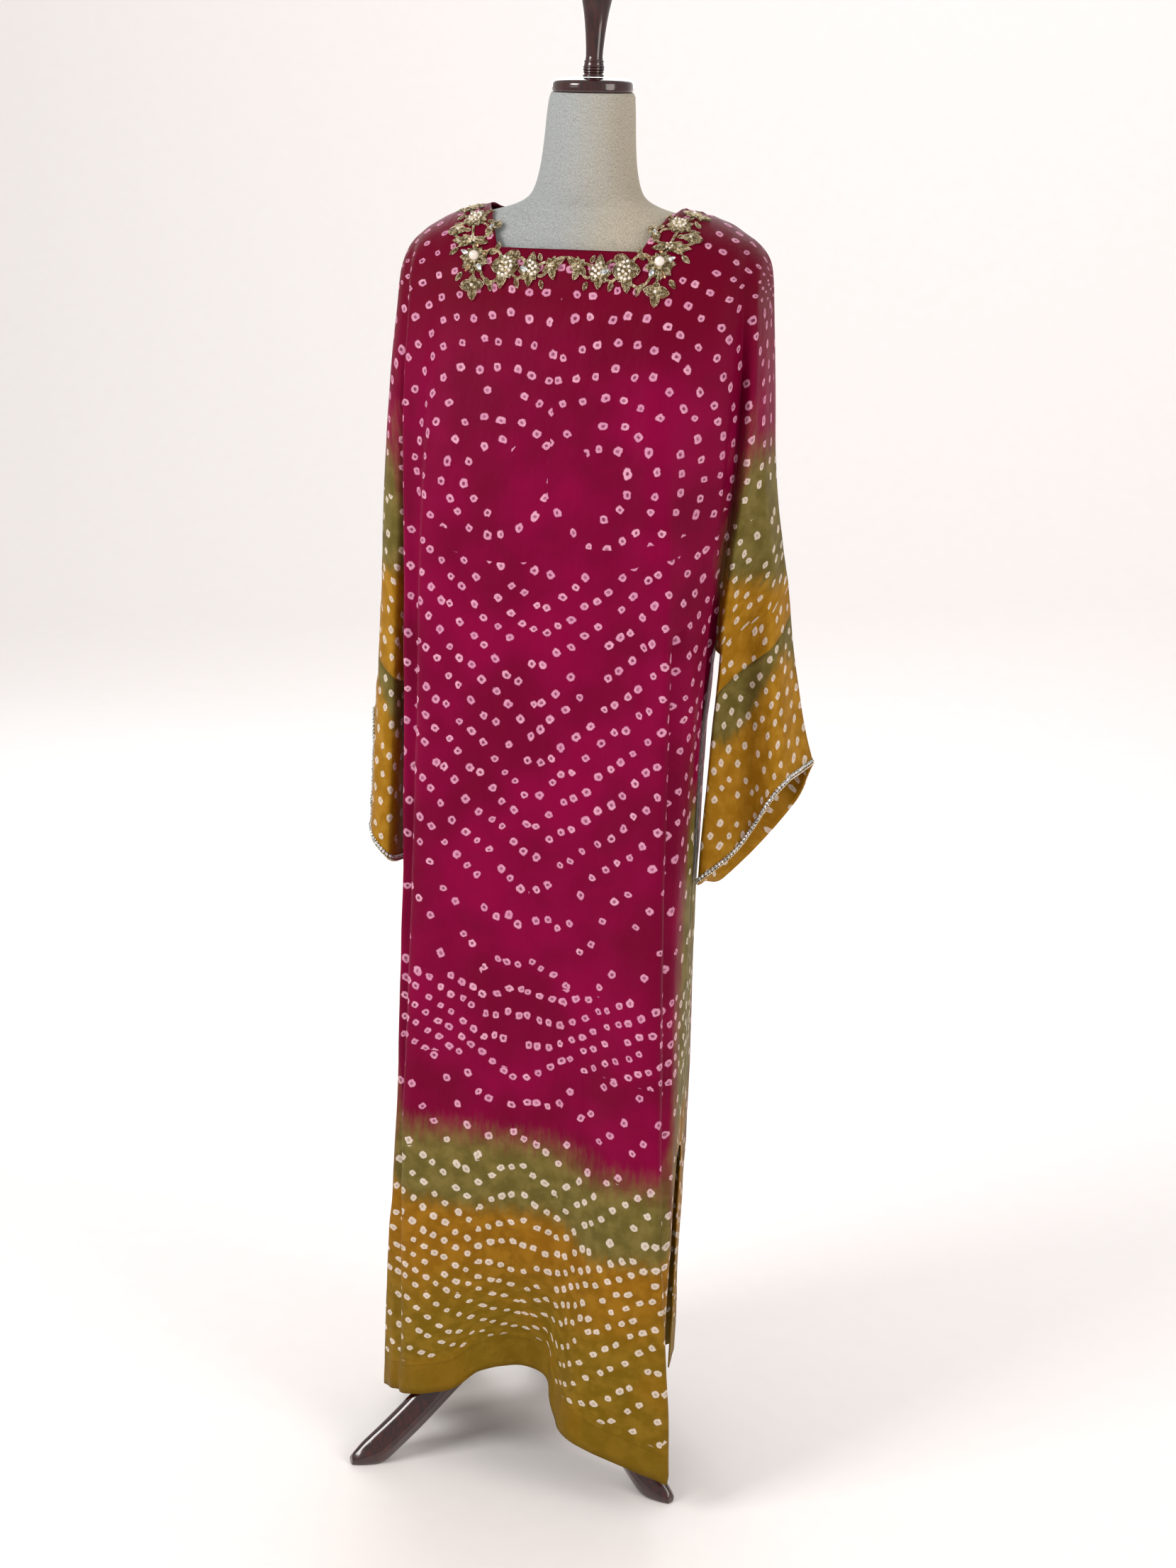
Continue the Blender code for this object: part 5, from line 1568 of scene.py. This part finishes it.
# A drop-shaped cut stone: a flat top, a belt and a pointed foot, all in facets
def cut_stone(plan, place, out, way, length, width):
    side = out.cross(way).normalized()
    way = side.cross(out)
    turn = Matrix((way, side, out)).transposed().to_4x4()
    half = (length / 2000.0, width / 2000.0)
    for low, high, bottom, top in STONE_PARTS:
        made = bmesh.ops.create_cone(plan, cap_ends=True, segments=9, radius1=bottom, radius2=top,
                                     depth=1.0)
        for corner in made["verts"]:
            co = corner.co.copy()
            co.z = (low + (co.z + 0.5) * (high - low)) * STONE_TALL
            co.x *= half[0] * (1.0 + 0.22 * (co.x > 0.5))
            co.y *= half[1] * (1.0 - 0.25 * max(0.0, co.x / half[0]))
            corner.co = Matrix.Translation(place) @ turn @ co


def stones_side(sign, tint):
    plan = bmesh.new()
    height = STONE_HEIGHT + LIFT
    for px, py, direction, length, width, colour in STONES:
        if colour != tint:
            continue
        turn = math.radians(direction)
        place, out = on_front(sign * px, py, height)
        ahead = on_front(sign * (px + 2 * math.cos(turn)), py + 2 * math.sin(turn), height)[0]
        cut_stone(plan, place, out, (ahead - place).normalized(), length, width)
    return plan


# %% Gold, pearl and glass
def gold_wire():
    r = Recipe("coiled gold wire")
    place = r.place()
    coils = r.math("SINE", r.noise(place, 700.0, 2.0) * 60.0)
    tone = r.noise(place, 160.0, 3.0)
    painted_glint_and_shade = r.noise(place, 430.0, 1.0)
    colour = r.mix(r.rise(tone, 0.36, 0.64), shade(168, 146, 100), shade(244, 228, 186))
    colour = r.mix(r.rise(r.noise(place, 60.0, 2.0), 0.5, 0.7) * 0.5, colour, shade(120, 106, 74))
    # Painted light: where this noise is low the wire gets dark spots of painted shade, as in the gaps
    # between coils; where it is high it gets bright painted highlights
    colour = r.mix(r.rise(painted_glint_and_shade, 0.50, 0.34) * 0.8, colour, shade(84, 62, 32))
    colour = r.mix(r.rise(painted_glint_and_shade, 0.55, 0.68), colour, shade(252, 246, 224))
    return r.finish(Base_Color=colour, Metallic=0.88, Roughness=r.choose(tone, 0.26, 0.44),
                    Normal=r.bump(coils, 0.00018, 0.6))


def gold_padding():
    r = Recipe("gold padding in painted shade")
    threads = r.noise(r.place(), 1500.0, 3.0, 0.7)
    # Painted shade: the padding is coloured much darker than gold, so that where it shows between the wires
    # it reads as their shade
    colour = r.mix(r.rise(threads, 0.35, 0.65), shade(52, 40, 20), shade(120, 100, 62))
    return r.finish(Base_Color=colour, Metallic=0.7, Roughness=0.46, Normal=r.bump(threads, 0.0006, 0.8))


# A shiny finish between two colours: pearl, glass and silver differ only in these values
def shiny(name, dark, light, scale, border, rough, **more):
    r = Recipe(name)
    tone = r.noise(r.place(), scale, 2.0)
    colour = r.mix(r.rise(tone, 0.5 - border, 0.5 + border), shade(*dark), shade(*light))
    return r.finish(Base_Color=colour, Roughness=r.choose(tone, *rough), **more)


GLASS = {"Metallic": 0.55, "Coat_Weight": 1.0, "Coat_Roughness": 0.03}
pearl_shine = shiny("pearl", (226, 214, 200), (244, 236, 230), 120.0, 0.15, (0.16, 0.26),
                    Coat_Weight=0.7, Coat_Roughness=0.08)
cut_glass = {
    "clear": shiny("clear cut glass", (150, 158, 160), (250, 250, 250), 380.0, 0.08, (0.03, 0.09), **GLASS),
    "tan": shiny("tan cut glass", (104, 74, 38), (214, 176, 122), 380.0, 0.08, (0.03, 0.09), **GLASS),
}

# %% The neckline's pieces
wire_gold = gold_wire()
shaded_pad_gold = gold_padding()
neck_work = []
for part, sign in zip(PARTS, (-1, 1)):
    for name, *_ in MOTIFS:
        node = "motif_" + name + "_" + part
        neck_work.append((softened(node, "padding_" + name + "_" + part, shaded_pad_gold), "gold_work", node))
    neck_work.append((new_piece("gold_wires_" + part, gold_side(sign), wire_gold), "gold_work", None))
    neck_work.append((new_piece("small_pearls_" + part, pearl_side(sign), pearl_shine), "pearl", None))
    neck_work.append((new_piece("large_pearl_" + part, large_pearl(sign), pearl_shine),
                      "pearl", "pearl_" + part))
    for tint, glass in cut_glass.items():
        stones = new_piece(tint + "_stones_" + part, stones_side(sign, tint), glass, smooth=False)
        neck_work.append((stones, "gold_work", None))
print("neckline pieces", len(neck_work))

# %% [markdown]
# ## Trim on the cuffs
#
# Along each cuff run a row of small silver beads and, beside it, a row of cut stones in metal cups,
# sewn down one by one. Each bead is a small sphere and each stone two cones, set along a line that is
# measured off the cuff's own points, so they follow the slanting edge all the way round.

# %% Bead and stone sizes
# Radii, distances between neighbours and distances of the two rows from the edge
BEAD = 0.00115
BEAD_GAP = 0.0025
STONE = 0.0021
STONE_GAP = 0.0046
BEAD_ROW = 0.0018
STONE_ROW = 0.0056
CUP_TALL = 0.0011


# %% A line along the cuff
# Point and outward way at a distance above the cuff's edge, on one column of the sleeve end
def above_edge(part, col, from_edge):
    step = CUFF_STEPS * FINE
    while True:
        here = creased[("end", part, step, col)]
        above = creased[("end", part, step - 1, col)]
        span = (above - here).length
        if span >= from_edge:
            return here + (above - here) * (from_edge / span), cloth_normals[("end", part, step, col)]
        from_edge -= span
        step -= 1


# Points and outward ways along a cuff at one distance from its edge, evenly spaced
def cuff_line(part, from_edge, gap, lift):
    count = len(end_rings[part][0])
    line = [above_edge(part, col, from_edge) for col in range(count)]
    made = []
    at = 0.0
    for i in range(count):
        a, normal_a = line[i]
        b, normal_b = line[(i + 1) % count]
        span = (b - a).length
        while at < span:
            share = at / span
            normal = (normal_a + (normal_b - normal_a) * share).normalized()
            made.append((a + (b - a) * share + normal * lift + FORM_AXIS, normal, (b - a).normalized()))
            at += gap
        at -= span
    return made


# %% Beads, cups and stones
silver_bead = shiny("silver bead", (168, 160, 140), (232, 228, 214), 420.0, 0.10, (0.14, 0.30),
                    Metallic=0.9)
for part in PARTS:
    plan = bmesh.new()
    for place, normal, way in cuff_line(part, BEAD_ROW, BEAD_GAP, BEAD * 0.7):
        bmesh.ops.create_uvsphere(plan, u_segments=8, v_segments=5, radius=BEAD,
                                  matrix=Matrix.Translation(place))
    for place, normal, way in cuff_line(part, STONE_ROW, STONE_GAP, 0.0005):
        turn = normal.to_track_quat("Z", "Y").to_matrix().to_4x4()
        bmesh.ops.create_cone(plan, cap_ends=True, segments=10, radius1=STONE * 1.08, radius2=STONE * 0.92,
                              depth=CUP_TALL, matrix=Matrix.Translation(place) @ turn)
    neck_work.append((new_piece("cuff_beads_" + part, plan, silver_bead), "gold_work", None))
    plan = bmesh.new()
    for place, normal, way in cuff_line(part, STONE_ROW, STONE_GAP, 0.0014):
        cut_stone(plan, place, normal, way, STONE * 1900, STONE * 1900)
    neck_work.append((new_piece("cuff_stones_" + part, plan, cut_glass["clear"], smooth=False),
                      "gold_work", None))

# %% [markdown]
# ## Floor, light and camera
#
# A pale room with broad soft lights, as for a shop photograph. The floor could be a plane and a wall,
# but their corner would show, so one sheet curves up behind the form. The camera stands a little
# above the neckline and to the wearer's left, and is tipped slightly, as the photograph is.

# %% Camera
CAMERA_AT = Vector((0.60028, -2.82410, 1.70065)) + FORM_AXIS
CAMERA_WAY = Vector((-0.18816, 0.93992, -0.28486))
CAMERA_UP = Vector((-0.10784, 0.26852, 0.95722))
LENS = 60.2
FILM = 36.0


def camera_on(place, way, up):
    lens = bpy.data.cameras.new("camera")
    lens.lens = LENS
    lens.sensor_width = FILM
    made = new_object("camera", lens)
    back_way = -way.normalized()
    side = up.cross(back_way).normalized()
    turn = Matrix((side, back_way.cross(side), back_way)).transposed()
    made.matrix_world = Matrix.Translation(place) @ turn.to_4x4()
    bpy.context.scene.camera = made


camera_on(CAMERA_AT, CAMERA_WAY, CAMERA_UP)
print("camera at", tuple(round(value, 2) for value in CAMERA_AT))

# %% Lights
# Name, place, target, size, power, colour
LIGHTS = (
    ("front light", (-2.3, -2.5, 2.6), (0, 0, 0.9), (1.4, 1.4), 84.0, (1.0, 0.98, 0.96)),
    ("side light", (2.6, -1.4, 1.9), (0, 0, 0.8), (1.4, 2.2), 38.0, (1.0, 0.93, 0.86)),
    ("back light", (-0.6, 2.6, 2.4), (0, 0, 1.0), (2.4, 2.0), 40.0, (0.94, 0.97, 1.0)),
    ("wall light", (0.0, 2.2, 4.4), (0, 5.2, 2.4), (5.0, 1.2), 66.0, (1.0, 0.99, 0.98)),
)
for name, place, target, size, power, colour in LIGHTS:
    lamp = bpy.data.lights.new(name, "AREA")
    lamp.shape = "RECTANGLE"
    lamp.size, lamp.size_y = size
    lamp.energy = power
    lamp.color = colour
    made = new_object(name, lamp)
    turn = (Vector(target) - Vector(place)).normalized().to_track_quat("-Z", "Y")
    made.matrix_world = Matrix.Translation(Vector(place)) @ turn.to_matrix().to_4x4()
world = bpy.data.worlds.new("pale room")
world.use_nodes = True
world.node_tree.nodes["Background"].inputs["Color"].default_value = (0.90, 0.88, 0.87, 1.0)
world.node_tree.nodes["Background"].inputs["Strength"].default_value = 0.62
bpy.context.scene.world = world
bpy.context.scene.view_settings.view_transform = "Standard"
print("lights", len(LIGHTS))

# %% Floor
# Front and back end, half width, radius of the curve up and height of the wall
FLOOR_FRONT = -7.0
FLOOR_BACK = 3.0
FLOOR_HALF = 9.0
FLOOR_CURVE = 2.0
WALL_TOP = 7.0


# A floor that curves up into a wall behind the form
def pale_floor():
    outline = [(FLOOR_FRONT, 0.0), (FLOOR_BACK, 0.0)]
    for turn in [math.radians(angle) for angle in range(6, 91, 6)]:
        outline.append((FLOOR_BACK + FLOOR_CURVE * math.sin(turn), FLOOR_CURVE * (1.0 - math.cos(turn))))
    outline.append((FLOOR_BACK + FLOOR_CURVE, WALL_TOP))
    plan = bmesh.new()
    corners = [plan.verts.new((-FLOOR_HALF, y, z)) for y, z in outline]
    edges = [plan.edges.new(pair) for pair in zip(corners, corners[1:])]
    drawn = bmesh.ops.extrude_edge_only(plan, edges=edges)
    moved = [item for item in drawn["geom"] if isinstance(item, bmesh.types.BMVert)]
    bmesh.ops.translate(plan, verts=moved, vec=(2 * FLOOR_HALF, 0.0, 0.0))
    bmesh.ops.recalc_face_normals(plan, faces=plan.faces)
    r = Recipe("pale floor")
    grain = r.noise(r.place(), 30.0, 3.0)
    r.finish(Base_Color=r.mix(grain, shade(245, 241, 240), shade(248, 245, 244)), Roughness=0.9)
    new_piece("floor", plan, r.material)


pale_floor()

# %% [markdown]
# ## Putting the pieces in their places
#
# Each dressed piece takes the place of its plain solid. No cloth simulation is used, because it
# would put its own folds where the photograph has others.

# %% Places
def take_place(made, slot, *nodes):
    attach(made, "root")
    if nodes:
        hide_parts(*nodes)


take_place(front_cloth, "silk", "front_panel")
take_place(back_cloth, "silk", "back_panel")
for part in PARTS:
    take_place(end_cloth[part][0], "silk_end", "sleeve_end_" + part)
take_place(form_cover, "linen", "form_torso")
for node, made in stand.items():
    take_place(made, "wood", node)
for made, slot, node in neck_work:
    take_place(made, slot, *([node] if node else []))
print("pieces in place", 5 + len(stand) + len(neck_work))
